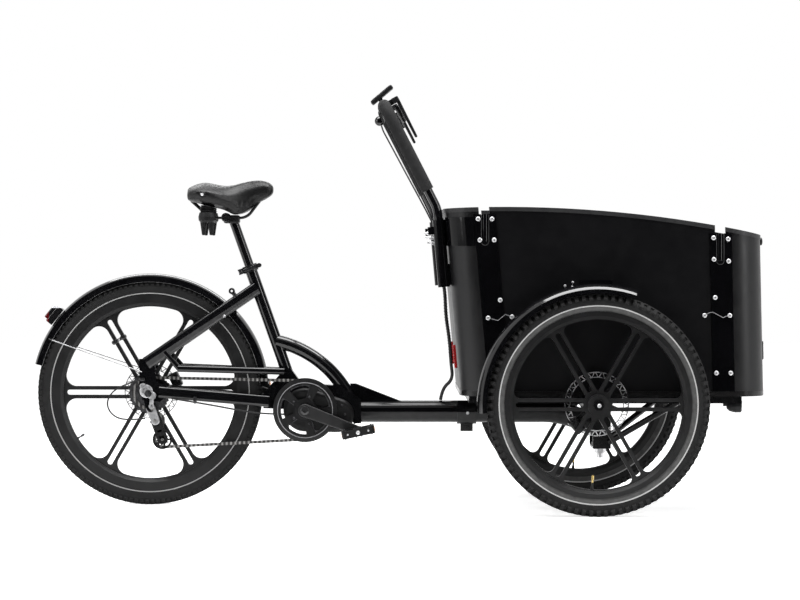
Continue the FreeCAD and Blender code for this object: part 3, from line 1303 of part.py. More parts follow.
perch_y = 184
clamp_from = point(d.bar_top_x, -perch_y, d.bar_top_z)
bar_turn = Rotation(front, axis_y, down, "ZXY")
ring_half = 9
ring_shape = Part.makeCylinder(18, 2 * ring_half, Vector(0, -ring_half, 0), axis_y)
pivot_out, pivot_side, pivot_r = 41.0, 25.0, 2.4
perch = Part.makeBox(22, 14, 16, Vector(12, -6, -8))
outrigger = soft_box((20, 37, 16), (26, pivot_side - 31, -8), 3, lambda e: e.BoundBox.XMin > 45)
fork_gap = Part.makeBox(24, 7, 40, Vector(pivot_out - 10, pivot_side - 3.5, -20))
bar_bore = Part.makeCylinder(float(d.bar_r), 40, Vector(0, -20, 0), axis_y)
perch_shape = ring_shape.fuse([perch, outrigger]).cut([fork_gap, bar_bore])
pivot_pin = Part.makeCylinder(pivot_r, 12, Vector(pivot_out, pivot_side - 6, 0), axis_y)
lever_perch = place(solid(perch_shape.fuse(pivot_pin)), tuple(clamp_from), bar_turn)
keep(pair(lever_perch), "lever_perches")
lever_face = hull(Vector(), 5.5, Vector(118, 0, 0), 4)
lever_blade = slab(lever_face, -3, 3)
lever_blade = lever_blade.makeFillet(2, [e for e in lever_blade.Edges if e.BoundBox.YLength < 0.1])
lever_blade = lever_blade.rotated(Vector(), axis_y, -90)
lever_blade.translate(Vector(pivot_out, pivot_side, 0))
pivot_hole = Part.makeCylinder(pivot_r + 0.1, 30, Vector(pivot_out, pivot_side - 15, 0), axis_y)
lever_blade = lever_blade.cut(pivot_hole)
right_lever = place(solid(lever_blade), tuple(clamp_from), bar_turn)
keep(right_lever, "brake_lever_right")
keep(mirrored(right_lever), "brake_lever_left")

show_ring = tube(17, d.bar_r, 18, (d.bar_top_x, -9, d.bar_top_z), along_y)
stem = solid(Part.makeBox(12, 14, 24, Vector(-6, -7, 14)))
stem = place(stem, (d.bar_top_x, 0, d.bar_top_z), Rotation(axis_y, -20))
screen = soft_box((78, 56, 13), (-17, -28, 30), 4, lambda e: True)
screen = place(solid(screen), (d.bar_top_x, 0, d.bar_top_z), Rotation(axis_y, -40))
bar_core = cylinder(d.bar_r, 40, (d.bar_top_x, -20, d.bar_top_z), along_y)
keep(fuse(show_ring, cut(stem, bar_core), screen), "display")

# Front mudguards with their brackets, calipers, lamps, reflectors and battery

front_guard_half = 34
guard_shape = mudguard(float(d.front_guard_r), front_guard_half, 12, 71, 184,
                       (front_axle_x, -d.half_track, d.front_tyre_r))
bracket_low = d.front_tyre_r + d.front_guard_r
shelf_long, shelf_t = 90, 4
shelf = block((shelf_long, d.half_track + 10 - d.box_half, shelf_t),
              (front_axle_x - shelf_long / 2, -d.half_track - 10, bracket_low))
upright = block((shelf_long, shelf_t, 17),
                (front_axle_x - shelf_long / 2, -d.box_half - shelf_t, bracket_low))
keep(group(pair(guard_shape), pair(fuse(shelf, upright))), "front_mudguards")
front_caliper_at = point(front_axle_x, 0, d.front_tyre_r) + Vector(-56, 0, -60)
front_disc_mid = -float(d.half_track) + front_disc_in + float(d.rotor_w) / 2
caliper_shape = caliper(front_caliper_at, front_disc_mid, 227)
arm_face = hull(Vector(front_caliper_at.x, 0, front_caliper_at.z), 14,
                point(front_axle_x, 0, d.front_tyre_r), 15)
arm = slab(arm_face, front_disc_mid + 4, front_disc_mid + 12)
arm_bore = cylinder(d.stub_r, 200, (front_axle_x, -d.half_track, d.front_tyre_r), along_y)
keep(pair(fuse(solid(caliper_shape), cut(solid(arm), arm_bore))), "front_calipers")

lamp_drop = 20
lamp_z = rail_base - lamp_drop
lamp_profile = [(0, -30), (8, -30), (15, -22), (19, -6), (19, 10), (17, 12), (0, 12)]
lamp = spun(lamp_profile, (rail_nose_x + 16, 0, lamp_z), Rotation(axis_y, Vector(1, 0, 0)))
lamp_foot = block((16, 14, lamp_drop), (rail_nose_x - 24, -7, lamp_z))
keep(fuse(lamp, lamp_foot), "head_lamp")
reflector_low, reflector_high = 404, 470
reflector_y = 150


def tail_x(z):
    return float(d.box_tail_x) - (z - float(d.floor_z)) * tail_tan


reflector_shape = soft_box((8, 30, reflector_high - reflector_low), (-8.1, -15, 0), 3,
                           lambda e: e.BoundBox.XMax < -7)
reflector = place(solid(reflector_shape), (tail_x(reflector_low), -reflector_y, reflector_low), sleeve_turn)
keep(pair(reflector), "rear_reflectors")
battery_shape = soft_box((92, 380, 120), (float(d.box_wall) + 0.3, -190, 0), 10,
                         lambda e: e.BoundBox.XMin > 50)
keep(place(solid(battery_shape), (tail_x(420), 0, 420), sleeve_turn), "battery_pack")

cable_r = 6
cable_y = -60
cable_rows = [(742, 8, 0), (690, 20, -4), (620, 14, 0), (550, 18, 3), (480, 13, 0), (415, 15, 6),
              (366, 12.5, 22)]
cable_points = [Vector(tail_x(z) - off, cable_y + side, z) for z, off, side in cable_rows]
cable_points += [Vector(133, -11, 338), Vector(128, -6, 304.4)]


def cord_bends(points):
    """The largest tangent arc that each corner's two runs leave room for."""
    bends = []
    for before, corner, after in zip(points, points[1:], points[2:]):
        turn = (corner - before).getAngle(after - corner)
        run = min((corner - before).Length, (after - corner).Length)
        bends.append(0.45 * run / math.tan(turn / 2))
    return bends


cable_bends = cord_bends(cable_points)
print("steering cable bends", [round(b) for b in cable_bends])
keep(solid(round_pipe(wire(cable_points, cable_bends), cable_r)), "steering_cable")
gland_r, gland_len = 10.5, 22
gland_turn = Rotation(Vector(0, 0, 1), cable_points[1] - cable_points[0])
gland = tube(gland_r, cable_r, gland_len, tuple(cable_points[0]), gland_turn)
keep(group(band, guide_sleeves, cut(gland, tail_wall)), "bar_mount")

doc.recompute()
faults = [o.Name for o in doc.Objects if "Invalid" in o.State or "Error" in o.State]
for sub in subparts:
    if sub.Shape.isNull() or not sub.Shape.isValid() or not sub.Shape.Solids:
        faults.append(sub.Label)
if faults:
    raise RuntimeError("not built: " + ", ".join(faults))
os.makedirs("parts", exist_ok=True)
for sub in subparts:
    sub.Shape.exportStep("parts/%s.step" % sub.Label)
print("wrote", len(subparts), "sub-parts")
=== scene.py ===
import json
import math
from types import SimpleNamespace
import bmesh
import bpy
from mathutils import Matrix, Vector


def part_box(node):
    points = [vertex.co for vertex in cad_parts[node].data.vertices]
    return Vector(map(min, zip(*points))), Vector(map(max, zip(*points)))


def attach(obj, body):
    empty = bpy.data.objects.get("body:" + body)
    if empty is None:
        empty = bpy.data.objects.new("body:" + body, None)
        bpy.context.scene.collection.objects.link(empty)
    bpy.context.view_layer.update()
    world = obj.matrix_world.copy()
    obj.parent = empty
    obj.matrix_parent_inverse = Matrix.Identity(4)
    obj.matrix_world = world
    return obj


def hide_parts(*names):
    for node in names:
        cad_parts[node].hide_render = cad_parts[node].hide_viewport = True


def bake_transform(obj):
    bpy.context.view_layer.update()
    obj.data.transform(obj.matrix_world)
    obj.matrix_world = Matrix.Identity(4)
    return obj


# Cargo tricycle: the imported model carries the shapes, this file dresses it and lights it.
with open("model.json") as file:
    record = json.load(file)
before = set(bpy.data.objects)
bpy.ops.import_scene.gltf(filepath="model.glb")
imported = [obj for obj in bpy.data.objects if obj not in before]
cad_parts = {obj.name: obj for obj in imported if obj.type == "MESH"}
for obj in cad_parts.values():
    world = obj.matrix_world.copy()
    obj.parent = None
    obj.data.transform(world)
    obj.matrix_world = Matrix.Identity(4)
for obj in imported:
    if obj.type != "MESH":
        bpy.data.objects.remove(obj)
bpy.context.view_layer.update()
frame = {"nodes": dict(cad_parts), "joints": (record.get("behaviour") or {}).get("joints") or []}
nodes = frame["nodes"]
joints = {joint["name"]: joint for joint in frame["joints"]}
scene = bpy.context.scene
world = scene.world or bpy.data.worlds.new("world")
scene.world = world
scene.view_settings.view_transform = "Standard"
print("frame loaded:", len(nodes), "nodes")


def pivot(name):
    return Vector(joints[name + "_spin"]["pos_m"])


def addObject(name, data):
    thing = bpy.data.objects.new(name, data)
    scene.collection.objects.link(thing)
    return thing


crankAxis = pivot("crank")
wheels = {"rear": SimpleNamespace(body="rear_wheel", tyre="rear_tyre", disc="rear_brake_disc")}
for side in ("right", "left"):
    wheels[side] = SimpleNamespace(body="front_wheel_" + side, tyre="front_tyre_" + side,
                                   disc="front_brake_disc_" + side)
for wheel in wheels.values():
    wheel.axle = pivot(wheel.body)

# Camera, worked out from the three wheel circles of the picture, for an 800 x 600 frame
cameraSettings = {"place": (-0.038, -7.9, 0.729), "focalPixels": 2711.0, "width": 800, "height": 600,
                  "centreX": 383.5, "centreY": 254.0, "sensor": 36.0, "clipEnd": 60}


def placeCamera(place, focalPixels, width, height, centreX, centreY, sensor, clipEnd):
    data = bpy.data.cameras.new("camera")
    data.sensor_width = sensor
    data.lens = focalPixels * sensor / width
    data.shift_x = (width / 2 - centreX) / width
    data.shift_y = (centreY - height / 2) / width
    data.clip_end = clipEnd
    camera = addObject("camera", data)
    camera.location = place
    camera.rotation_euler = (math.pi / 2, 0, 0)
    scene.camera = camera


placeCamera(**cameraSettings)

# Materials: a coat is a node tree on Object coordinates, put together from these helpers
finishes = {}
socketNames = {"colour": "Base Color", "rough": "Roughness", "metal": "Metallic", "specular": "Specular IOR Level",
               "lacquer": "Coat Weight", "lacquerRough": "Coat Roughness", "glowColour": "Emission Color",
               "glow": "Emission Strength", "normal": "Normal"}


def startCoat(name):
    material = bpy.data.materials.new(name)
    material.use_nodes = True
    finishes[name] = material
    tree = material.node_tree
    place = tree.nodes.new("ShaderNodeTexCoord").outputs["Object"]
    return SimpleNamespace(tree=tree, shader=tree.nodes["Principled BSDF"], place=place)


def join(coat, value, socket):
    # a number or a colour is set on the socket, another node's output is linked to it
    if isinstance(value, (int, float)):
        socket.default_value = value
    elif isinstance(value, tuple):
        socket.default_value = value if len(value) == len(socket.default_value) else (*value, 1)
    else:
        coat.tree.links.new(value, socket)


def addNode(coat, kind, inputs, output=0, **settings):
    node = coat.tree.nodes.new("ShaderNode" + kind)
    for name, value in settings.items():
        setattr(node, name, value)
    for name, value in inputs.items():
        join(coat, value, node.inputs[name])
    return node.outputs[output]


def feed(coat, bump=None, **values):
    # bump is a height, its depth and its strength
    if bump:
        values["normal"] = addNode(coat, "Bump", dict(zip(("Height", "Distance", "Strength"), bump)), "Normal")
    for name, value in values.items():
        join(coat, value, coat.shader.inputs[socketNames[name]])


def noise(coat, scale, detail=4.0):
    inputs = {"Vector": coat.place, "Scale": scale, "Detail": detail, "Roughness": 0.55}
    return addNode(coat, "TexNoise", inputs, "Fac")


def ramp(coat, value, dark, light, low=0.3, high=0.75):
    node = coat.tree.nodes.new("ShaderNodeValToRGB")
    for element, position, colour in zip(node.color_ramp.elements, (low, high), (dark, light)):
        element.position, element.color = position, (*colour, 1)
    join(coat, value, node.inputs["Fac"])
    return node.outputs["Color"]


def spread(coat, value, low, high, fromLow=0.3, fromHigh=0.7):
    inputs = {"Value": value, "From Min": fromLow, "From Max": fromHigh, "To Min": low, "To Max": high}
    return addNode(coat, "MapRange", inputs, "Result")


def calc(coat, operation, first, second=0.0):
    return addNode(coat, "Math", {0: first, 1: second}, operation=operation)


def mix(coat, share, first, second):
    return addNode(coat, "Mix", {0: share, 6: first, 7: second}, 2, data_type="RGBA")


def axisOf(coat, axis, place=None):
    return addNode(coat, "SeparateXYZ", {"Vector": coat.place if place is None else place}, axis)


def waves(coat, value, perMetre):
    return calc(coat, "SINE", calc(coat, "MULTIPLY", value, 2 * math.pi * perMetre))


def radiusFrom(coat, centre):
    away = {"Vector": coat.place, "Location": tuple(-value for value in centre)}
    spot, squares = addNode(coat, "Mapping", away, "Vector"), []
    for axis in "XZ":
        part = axisOf(coat, axis, spot)
        squares.append(calc(coat, "MULTIPLY", part, part))
    return calc(coat, "SQRT", calc(coat, "ADD", *squares))


# Plain finishes: a mottled colour, an uneven roughness and a fine surface grain. Two values of a colour stand for
# red with green, and blue. The last column, for metals, is nought where it is left out.
finishColumns = ("dark", "light", "mottle", "wear", "roughness", "grain", "depth", "strength", "specular", "metallic")
finishTable = {
    "framePaint": ((0.002, 0.0024), (0.0034, 0.0039), 14, 40, (0.08, 0.14), 700, 0.0002, 0.08, 0.4),
    "chassisPaint": ((0.0016, 0.0019), (0.0028, 0.0032), 16, 40, (0.2, 0.3), 800, 0.0002, 0.1, 0.18),
    "strapGloss": ((0.0012, 0.0015), (0.0022, 0.0026), 9, 60, (0.05, 0.1), 420, 0.0002, 0.04, 0.2),
    "panelFilm": ((0.0024, 0.0028), (0.0036, 0.0041), 7, 30, (0.36, 0.48), 1300, 0.0003, 0.2, 0.09),
    "bentPanel": ((0.003, 0.0034), (0.0045, 0.005), 7, 30, (0.34, 0.44), 1300, 0.0003, 0.2, 0.26),
    # a grey that stands for the pale floor reflected in the seat stays' lower faces, a painted reflection
    "stayGrey": ((0.022, 0.0225), (0.034, 0.0345), 14, 40, (0.3, 0.42), 900, 0.0002, 0.12, 0.25),
    "trimGrey": ((0.015, 0.0156), (0.022, 0.023), 22, 70, (0.38, 0.5), 1600, 0.0002, 0.2, 0.22),
    "paleTrim": ((0.14, 0.145), (0.24, 0.25), 90, 110, (0.25, 0.4), 1800, 0.0001, 0.2, 0.3),
    "rimSatin": ((0.006, 0.0062), (0.011, 0.0113), 26, 60, (0.3, 0.42), 1500, 0.0002, 0.22, 0.2),
    "guardGloss": ((0.0016, 0.002), (0.003, 0.0034), 12, 50, (0.07, 0.13), 300, 0.0002, 0.05, 0.5),
    "blackPlastic": ((0.003, 0.0033), (0.006, 0.0064), 30, 80, (0.38, 0.54), 1800, 0.0003, 0.3, 0.2),
    "anodised": ((0.006, 0.0065), (0.013, 0.014), 40, 90, (0.2, 0.34), 1400, 0.0002, 0.2, 0.45),
    "crankGrey": ((0.009, 0.0093), (0.015, 0.0154), 36, 70, (0.34, 0.46), 1500, 0.0002, 0.22, 0.24),
    "brightSteel": ((0.52, 0.53), (0.78, 0.79), 120, 200, (0.24, 0.4), 2500, 0.0001, 0.3, 0.5, 0.6),
    "chainSteel": ((0.05, 0.048, 0.046), (0.28, 0.275, 0.27), 240, 300, (0.26, 0.46), 3000, 0.0001, 0.3, 0.5, 0.75),
    "darkSteel": ((0.03, 0.032), (0.1, 0.104), 90, 160, (0.28, 0.45), 2200, 0.0001, 0.3, 0.5, 1.0),
    "foamGrip": ((0.01, 0.0103), (0.017, 0.0174), 60, 120, (0.78, 0.92), 2400, 0.0006, 0.5, 0.15),
    "paleRubber": ((0.04, 0.0395), (0.072, 0.071), 60, 110, (0.5, 0.66), 1600, 0.0003, 0.3, 0.2),
    "softRubber": ((0.004, 0.0043), (0.009, 0.0093), 70, 110, (0.42, 0.6), 2000, 0.0003, 0.35, 0.25),
    "rawAlloy": ((0.2, 0.205), (0.5, 0.51), 140, 180, (0.32, 0.5), 2000, 0.0001, 0.35, 0.5, 0.75),
    "brass": ((0.42, 0.3, 0.1), (0.66, 0.5, 0.2), 150, 200, (0.22, 0.36), 2600, 0.0001, 0.2, 0.5, 1.0),
    "whiteReflector": ((0.55, 0.56), (0.78, 0.8), 400, 300, (0.12, 0.3), 900, 0.0008, 0.7, 0.6),
    "amberReflector": ((0.5, 0.16, 0.01), (0.72, 0.26, 0.02), 400, 300, (0.12, 0.26), 900, 0.0008, 0.7, 0.5),
}


def readFinish(row):
    look = {"metallic": 0.0, **dict(zip(finishColumns, row))}
    for tone in ("dark", "light"):
        *warm, blue = look[tone]
        look[tone] = (warm[0], warm[-1], blue)
    return SimpleNamespace(**look)


def mottled(coat, look):
    return ramp(coat, noise(coat, look.mottle), look.dark, look.light)


def worn(coat, look):
    return spread(coat, noise(coat, look.wear, 6.0), *look.roughness)


def grained(coat, look):
    return noise(coat, look.grain, 3.0), look.depth, look.strength


looks = {name: readFinish(row) for name, row in finishTable.items()}
for name, look in looks.items():
    coat = startCoat(name)
    feed(coat, colour=mottled(coat, look), rough=worn(coat, look), metal=look.metallic, specular=look.specular,
         bump=grained(coat, look))

# Ground braking ring on a dark carrier: fine circles about the axle over a brushed colour
discFinish = {"dark": (0.36, 0.36, 0.37), "light": (0.68, 0.68, 0.69), "carrier": (0.012, 0.012, 0.0125),
              "ringsPerMetre": 900, "roughness": (0.22, 0.36), "grooveDepth": 0.0001,
              "ringInner": {"rear": 0.058, "right": 0.0732, "left": 0.0732}}


def groundDisc(wheel, dark, light, carrier, ringsPerMetre, roughness, grooveDepth, ringInner):
    coat = startCoat(wheel + "Disc")
    radius, stain = radiusFrom(coat, wheels[wheel].axle), noise(coat, 80, 6.0)
    braking = calc(coat, "GREATER_THAN", radius, ringInner[wheel])
    feed(coat, colour=mix(coat, braking, carrier, ramp(coat, stain, dark, light, 0.25, 0.7)), metal=braking,
         rough=spread(coat, stain, *roughness), specular=0.2,
         bump=(waves(coat, radius, ringsPerMetre), grooveDepth, 0.25))


# Two finishes on one imported node, which meet on the plane at a distance along an aim. On the main beam the grey
# below the line is a painted reflection of the pale floor in the black paint, and the black above it is the paint.
splitSettings = {"twoToneBeam": ((0, 0, 1), 0.271, "crankGrey", "strapGloss"),
                 "derailleurMetal": ((0, 1, 0), -0.0545, "rawAlloy", "blackPlastic"),
                 # the seat stays' grey lower face is a painted reflection of the pale floor too
                 "twoToneStay": ((-0.551, 0, 0.8344), 0.7455, "stayGrey", "framePaint")}


def splitFinish(name, aim, limit, below, above):
    coat = startCoat(name)
    parts = looks[below], looks[above]
    reach = addNode(coat, "VectorMath", {0: coat.place, 1: aim}, "Value", operation="DOT_PRODUCT")
    side, stain = calc(coat, "GREATER_THAN", reach, limit), noise(coat, 60, 5.0)
    tones = [ramp(coat, stain, part.dark, part.light) for part in parts]
    smooth = spread(coat, side, *(part.roughness[0] for part in parts), 0.0, 1.0)
    wear = spread(coat, noise(coat, 50, 6.0), 0.0, 0.1)
    feed(coat, colour=mix(coat, side, *tones), rough=calc(coat, "ADD", smooth, wear), specular=parts[1].specular,
         metal=spread(coat, side, *(part.metallic for part in parts), 0.0, 1.0),
         bump=(noise(coat, 900, 3.0), 0.0002, 0.1))


# Chain: bright plates with a dark gap at each pitch along the run
chainSettings = {"pitch": 0.0127, "plate": (0.34, 0.335, 0.33), "gap": (0.05, 0.049, 0.048),
                 "grime": (0.5, 0.49, 0.48), "roughness": (0.28, 0.45), "metallic": 0.7}


def linkedChain(pitch, plate, gap, grime, roughness, metallic):
    coat = startCoat("linkedChain")
    wave = spread(coat, waves(coat, axisOf(coat, "X"), 1 / pitch), 0.0, 1.0, -1.0, 1.0)
    links = mix(coat, wave, gap, ramp(coat, wave, gap, plate, 0.36, 0.66))
    stain = ramp(coat, noise(coat, 260, 5.0), grime, (1, 1, 1), 0.25, 0.7)
    feed(coat, colour=addNode(coat, "VectorMath", {0: links, 1: stain}, "Vector", operation="MULTIPLY"),
         rough=spread(coat, noise(coat, 300, 5.0), *roughness), metal=metallic,
         bump=(noise(coat, 2600, 3.0), 0.0001, 0.3))


# Mudguard whose wire stays, nearer the axle than its shell, are bare steel
guardSettings = {"shell": looks["guardGloss"], "shellInner": 0.322, "steel": (0.3, 0.3, 0.305), "wireRougher": 0.26}


def wiredGuard(shell, shellInner, steel, wireRougher):
    coat = startCoat("wiredGuard")
    wire = calc(coat, "LESS_THAN", radiusFrom(coat, wheels["rear"].axle), shellInner)
    feed(coat, colour=mix(coat, wire, mottled(coat, shell), steel), metal=wire, specular=shell.specular,
         rough=calc(coat, "ADD", worn(coat, shell), calc(coat, "MULTIPLY", wire, wireRougher)),
         bump=grained(coat, shell))


# Tail lamp: black case, red ribbed lens to the rear, clear window on top
tailSettings = {"case": looks["blackPlastic"], "lensEdge": -1.011, "windowEdge": 0.572, "red": (0.06, 0.002, 0.003),
                "clear": (0.5, 0.5, 0.52), "ribsPerMetre": 700 / math.pi}


def tailLampCase(case, lensEdge, windowEdge, red, clear, ribsPerMetre):
    coat = startCoat("tailLampCase")
    lens = calc(coat, "LESS_THAN", axisOf(coat, "X"), lensEdge)
    window = calc(coat, "GREATER_THAN", axisOf(coat, "Z"), windowEdge)
    ribs = waves(coat, axisOf(coat, "Y"), ribsPerMetre)
    feed(coat, colour=mix(coat, window, mix(coat, lens, mottled(coat, case), red), clear),
         rough=spread(coat, noise(coat, case.mottle), 0.1, 0.22),
         bump=(calc(coat, "MULTIPLY", ribs, lens), 0.0004, 0.4))


# Tyre rubber: dusty sidewall, moulded fine ribs round the wheel
tyreFinish = {"dark": (0.006, 0.006, 0.0061), "light": (0.013, 0.013, 0.0132), "ribsPerMetre": 330,
              "ribDepth": 0.0005, "roughness": (0.62, 0.8)}


def tyreRubber(wheel, dark, light, ribsPerMetre, ribDepth, roughness):
    coat = startCoat(wheel + "TyreRubber")
    dust, ribs = noise(coat, 55, 7.0), waves(coat, radiusFrom(coat, wheels[wheel].axle), ribsPerMetre)
    feed(coat, colour=ramp(coat, dust, dark, light), rough=spread(coat, dust, *roughness), specular=0.15,
         bump=(calc(coat, "ADD", ribs, noise(coat, 1400, 3.0)), ribDepth, 0.3))


# Reflective stripe: pale beads in a matt band
stripeFinish = {"dark": (0.26, 0.26, 0.258), "light": (0.42, 0.42, 0.418), "beadScale": 1800}


def reflectiveStripe(dark, light, beadScale):
    coat = startCoat("reflectiveStripe")
    beads = noise(coat, beadScale, 2.0)
    feed(coat, colour=ramp(coat, beads, dark, light, 0.35, 0.65), rough=spread(coat, beads, 0.35, 0.6),
         bump=(beads, 0.0002, 0.3))


# Saddle cover: pebbled grain that fades towards the smooth sides
coverSettings = {"dark": (0.0026, 0.0026, 0.0027), "light": (0.0056, 0.0056, 0.0058), "pebbleScale": 330,
                 "pebbleDepth": 0.0011, "grainHeights": (0.905, 0.925), "roughness": (0.36, 0.46)}


def grainedCover(dark, light, pebbleScale, pebbleDepth, grainHeights, roughness):
    coat = startCoat("grainedCover")
    pebbles = {"Vector": coat.place, "Scale": pebbleScale}
    cells = addNode(coat, "TexVoronoi", pebbles, "Distance", feature="SMOOTH_F1")
    tone, onTop = noise(coat, 34, 5.0), spread(coat, axisOf(coat, "Z"), 0.06, 1.0, *grainHeights)
    feed(coat, colour=ramp(coat, tone, dark, light, 0.3, 0.8), rough=spread(coat, tone, *roughness), specular=0.24,
         bump=(calc(coat, "MULTIPLY", cells, onTop), pebbleDepth, 0.6))


# Red prism plastic: small square pyramids under a clear face
prismSettings = {"deep": (0.12, 0.004, 0.005), "lit": (0.36, 0.012, 0.014), "cellsPerMetre": 260}


def prismPlastic(deep, lit, cellsPerMetre):
    coat = startCoat("redPrism")
    cells = addNode(coat, "TexChecker", {"Vector": coat.place, "Scale": cellsPerMetre}, "Fac")
    feed(coat, colour=mix(coat, cells, deep, lit), rough=spread(coat, noise(coat, 160), 0.08, 0.2), specular=0.3,
         bump=(cells, 0.0006, 0.5))


# Clear lamp lens: fine flutes over a bright bowl
lensSettings = {"dark": (0.5, 0.5, 0.52), "light": (0.86, 0.86, 0.88), "flutesPerMetre": 300}


def flutedLens(dark, light, flutesPerMetre):
    coat = startCoat("flutedLens")
    flutes = waves(coat, axisOf(coat, "Y"), flutesPerMetre)
    feed(coat, colour=ramp(coat, spread(coat, flutes, 0.0, 1.0, -1.0, 1.0), dark, light, 0.1, 0.8),
         rough=spread(coat, flutes, 0.05, 0.14, -1.0, 1.0), lacquer=1.0, lacquerRough=0.03,
         bump=(flutes, 0.0005, 0.5))


# Plywood with a black film: the ply layers show at the cut edge
plySettings = {"film": (0.006, 0.006, 0.0065), "ply": (0.009, 0.0085, 0.008), "layersPerMetre": 420, "sealing": 0.35}


def filmedPly(film, ply, layersPerMetre, sealing):
    coat = startCoat("filmedPly")
    layers = waves(coat, axisOf(coat, "Z"), layersPerMetre)
    upright = calc(coat, "ABSOLUTE", axisOf(coat, "Z", addNode(coat, "NewGeometry", {}, "Normal")))
    edge = calc(coat, "LESS_THAN", upright, 0.5)
    share = calc(coat, "MULTIPLY", edge, spread(coat, layers, 0.0, 0.7, -0.4, 0.6))
    dull = spread(coat, noise(coat, 26), 0.45, 0.6)
    feed(coat, colour=mix(coat, share, film, ply), specular=0.35,
         rough=calc(coat, "SUBTRACT", dull, calc(coat, "MULTIPLY", edge, sealing)),
         bump=(noise(coat, 900, 3.0), 0.0003, 0.25))


# Display glass: nearly black, glossy, with a faint smudge
glassSettings = {"dark": (0.004, 0.005, 0.006), "light": (0.01, 0.012, 0.014)}


def displayGlass(dark, light):
    coat = startCoat("displayGlass")
    smudge = noise(coat, 45, 6.0)
    feed(coat, colour=ramp(coat, smudge, dark, light, 0.35, 0.8), rough=spread(coat, smudge, 0.04, 0.12),
         bump=(noise(coat, 300), 0.0001, 0.05))


for wheel in wheels:
    groundDisc(wheel, **discFinish)
    tyreRubber(wheel, **tyreFinish)
for name, row in splitSettings.items():
    splitFinish(name, *row)
linkedChain(**chainSettings)
wiredGuard(**guardSettings)
tailLampCase(**tailSettings)
reflectiveStripe(**stripeFinish)
grainedCover(**coverSettings)
prismPlastic(**prismSettings)
flutedLens(**lensSettings)
filmedPly(**plySettings)
displayGlass(**glassSettings)
print("materials ready:", len(finishes))

nodeFinish = {
    "twoToneBeam": ["main_beam"],
    "derailleurMetal": ["derailleur"],
    "wiredGuard": ["rear_mudguard"],
    "tailLampCase": ["tail_lamp"],
    "crankGrey": ["cranks"],
    "framePaint": ["seat_tube", "arch_tube", "chain_stays", "upper_stays", "dropouts", "motor_yoke",
                   "handlebar_tube", "seat_post"],
    "chassisPaint": ["axle_beam", "chassis_rails"],
    "strapGloss": ["corner_straps", "bar_mount"],
    "panelFilm": ["box_side_panels"],
    "bentPanel": ["box_rear_panel", "box_front_panel"],
    "twoToneStay": ["seat_stays"],
    "filmedPly": ["box_floor"],
    "trimGrey": ["edge_trims"],
    "rimSatin": ["rear_rim", "front_rim_right", "front_rim_left"],
    "guardGloss": ["front_mudguards"],
    "blackPlastic": ["motor_housing", "pedal_right", "pedal_left", "upper_pulley", "lower_pulley", "display",
                     "battery_pack", "saddle_frame", "head_lamp", "chain_guard"],
    "anodised": ["seat_clamp", "seat_clamp_lever", "rear_caliper", "front_calipers", "lever_perches",
                 "brake_lever_right", "brake_lever_left"],
    "brightSteel": ["panel_bolts", "kingpin"],
    "darkSteel": ["cassette", "chainring", "rear_axle"],
    "linkedChain": ["chain"],
    "foamGrip": ["grips"],
    "grainedCover": ["saddle_pad"],
    "redPrism": ["rear_reflectors"],
    "softRubber": ["steering_cable"],
    **{side + "Disc": [wheel.disc] for side, wheel in wheels.items()},
    **{side + "TyreRubber": [wheel.tyre] for side, wheel in wheels.items()},
}
for finish, names in nodeFinish.items():
    for name in names:
        nodes[name].data.materials.clear()
        nodes[name].data.materials.append(finishes[finish])
print("finishes set on the packed nodes")


# Mesh helpers
def toMesh(name, shape, materials):
    mesh = bpy.data.meshes.new(name)
    shape.to_mesh(mesh)
    shape.free()
    for material in materials:
        mesh.materials.append(finishes[material])
    return mesh


def finishPiece(name, shape, materials, body, smoothAngle=40):
    bmesh.ops.remove_doubles(shape, verts=shape.verts, dist=1e-6)
    bmesh.ops.recalc_face_normals(shape, faces=shape.faces)
    mesh = toMesh(name, shape, materials)
    mesh.polygons.foreach_set("use_smooth", [True] * len(mesh.polygons))
    mesh.set_sharp_from_angle(angle=math.radians(smoothAngle))
    piece = addObject(name, mesh)
    if body:
        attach(piece, body)
    return piece


def paintNew(shape, known, index):
    for face in shape.faces:
        if face not in known:
            face.material_index = index


def shift(*place):
    return Matrix.Translation(place)


def turnY(degrees):
    return Matrix.Rotation(math.radians(degrees), 4, "Y")


def turnTo(start, run):
    return Vector(start).rotation_difference(run.normalized()).to_matrix().to_4x4()


def spinLine(shape, profile, at, axis, side, steps, closed=False):
    # profile points are (radius, place along the axis)
    verts = [shape.verts.new(at + side * radius + axis * along) for radius, along in profile]
    edges = [shape.edges.new(pair) for pair in zip(verts, verts[1:])]
    if closed:
        edges.append(shape.edges.new((verts[-1], verts[0])))
    bmesh.ops.spin(shape, geom=verts + edges, cent=at, axis=axis, angle=2 * math.pi, steps=steps, use_merge=True,
                   use_duplicate=False)


def spinRing(shape, profile, centre, steps):
    spinLine(shape, profile, centre, Vector((0, 1, 0)), Vector((1, 0, 0)), steps, True)


def spinAbout(shape, at, axis, steps, profile, wide=1.0, long=1.0):
    # wide and long scale the profile's radii and its places along the axis
    axis = Vector(axis).normalized()
    profile = [(radius * wide, along * long) for radius, along in profile]
    spinLine(shape, profile, Vector(at), axis, axis.orthogonal().normalized(), steps)


def addHoop(shape, inner, outer, half, centre, steps):
    spinRing(shape, [(inner, -half), (outer, -half), (outer, half), (inner, half)], centre, steps)


def addBolt(shape, at, axis, radius, height, recess=0.5):
    # a domed head with a round recess, standing on its seat
    foot = -0.0006 / height
    spinAbout(shape, at, axis, 16, [(0.0, 0.55), (recess, 0.55), (recess, 1.0), (0.72, 1.0), (0.94, 0.72), (1.0, 0.3),
                                    (1.0, foot), (0.0, foot)], radius, height)


def buildBolts(name, body, materials, rows, recess=0.5):
    # a row is a spot, a radius, a height and, where there are two materials, which of them
    shape = bmesh.new()
    for spot, radius, height, *index in rows:
        known = set(shape.faces)
        addBolt(shape, spot, (0, math.copysign(1, spot[1]), 0), radius, height, recess)
        paintNew(shape, known, index[0] if index else 0)
    finishPiece(name, shape, materials, body)


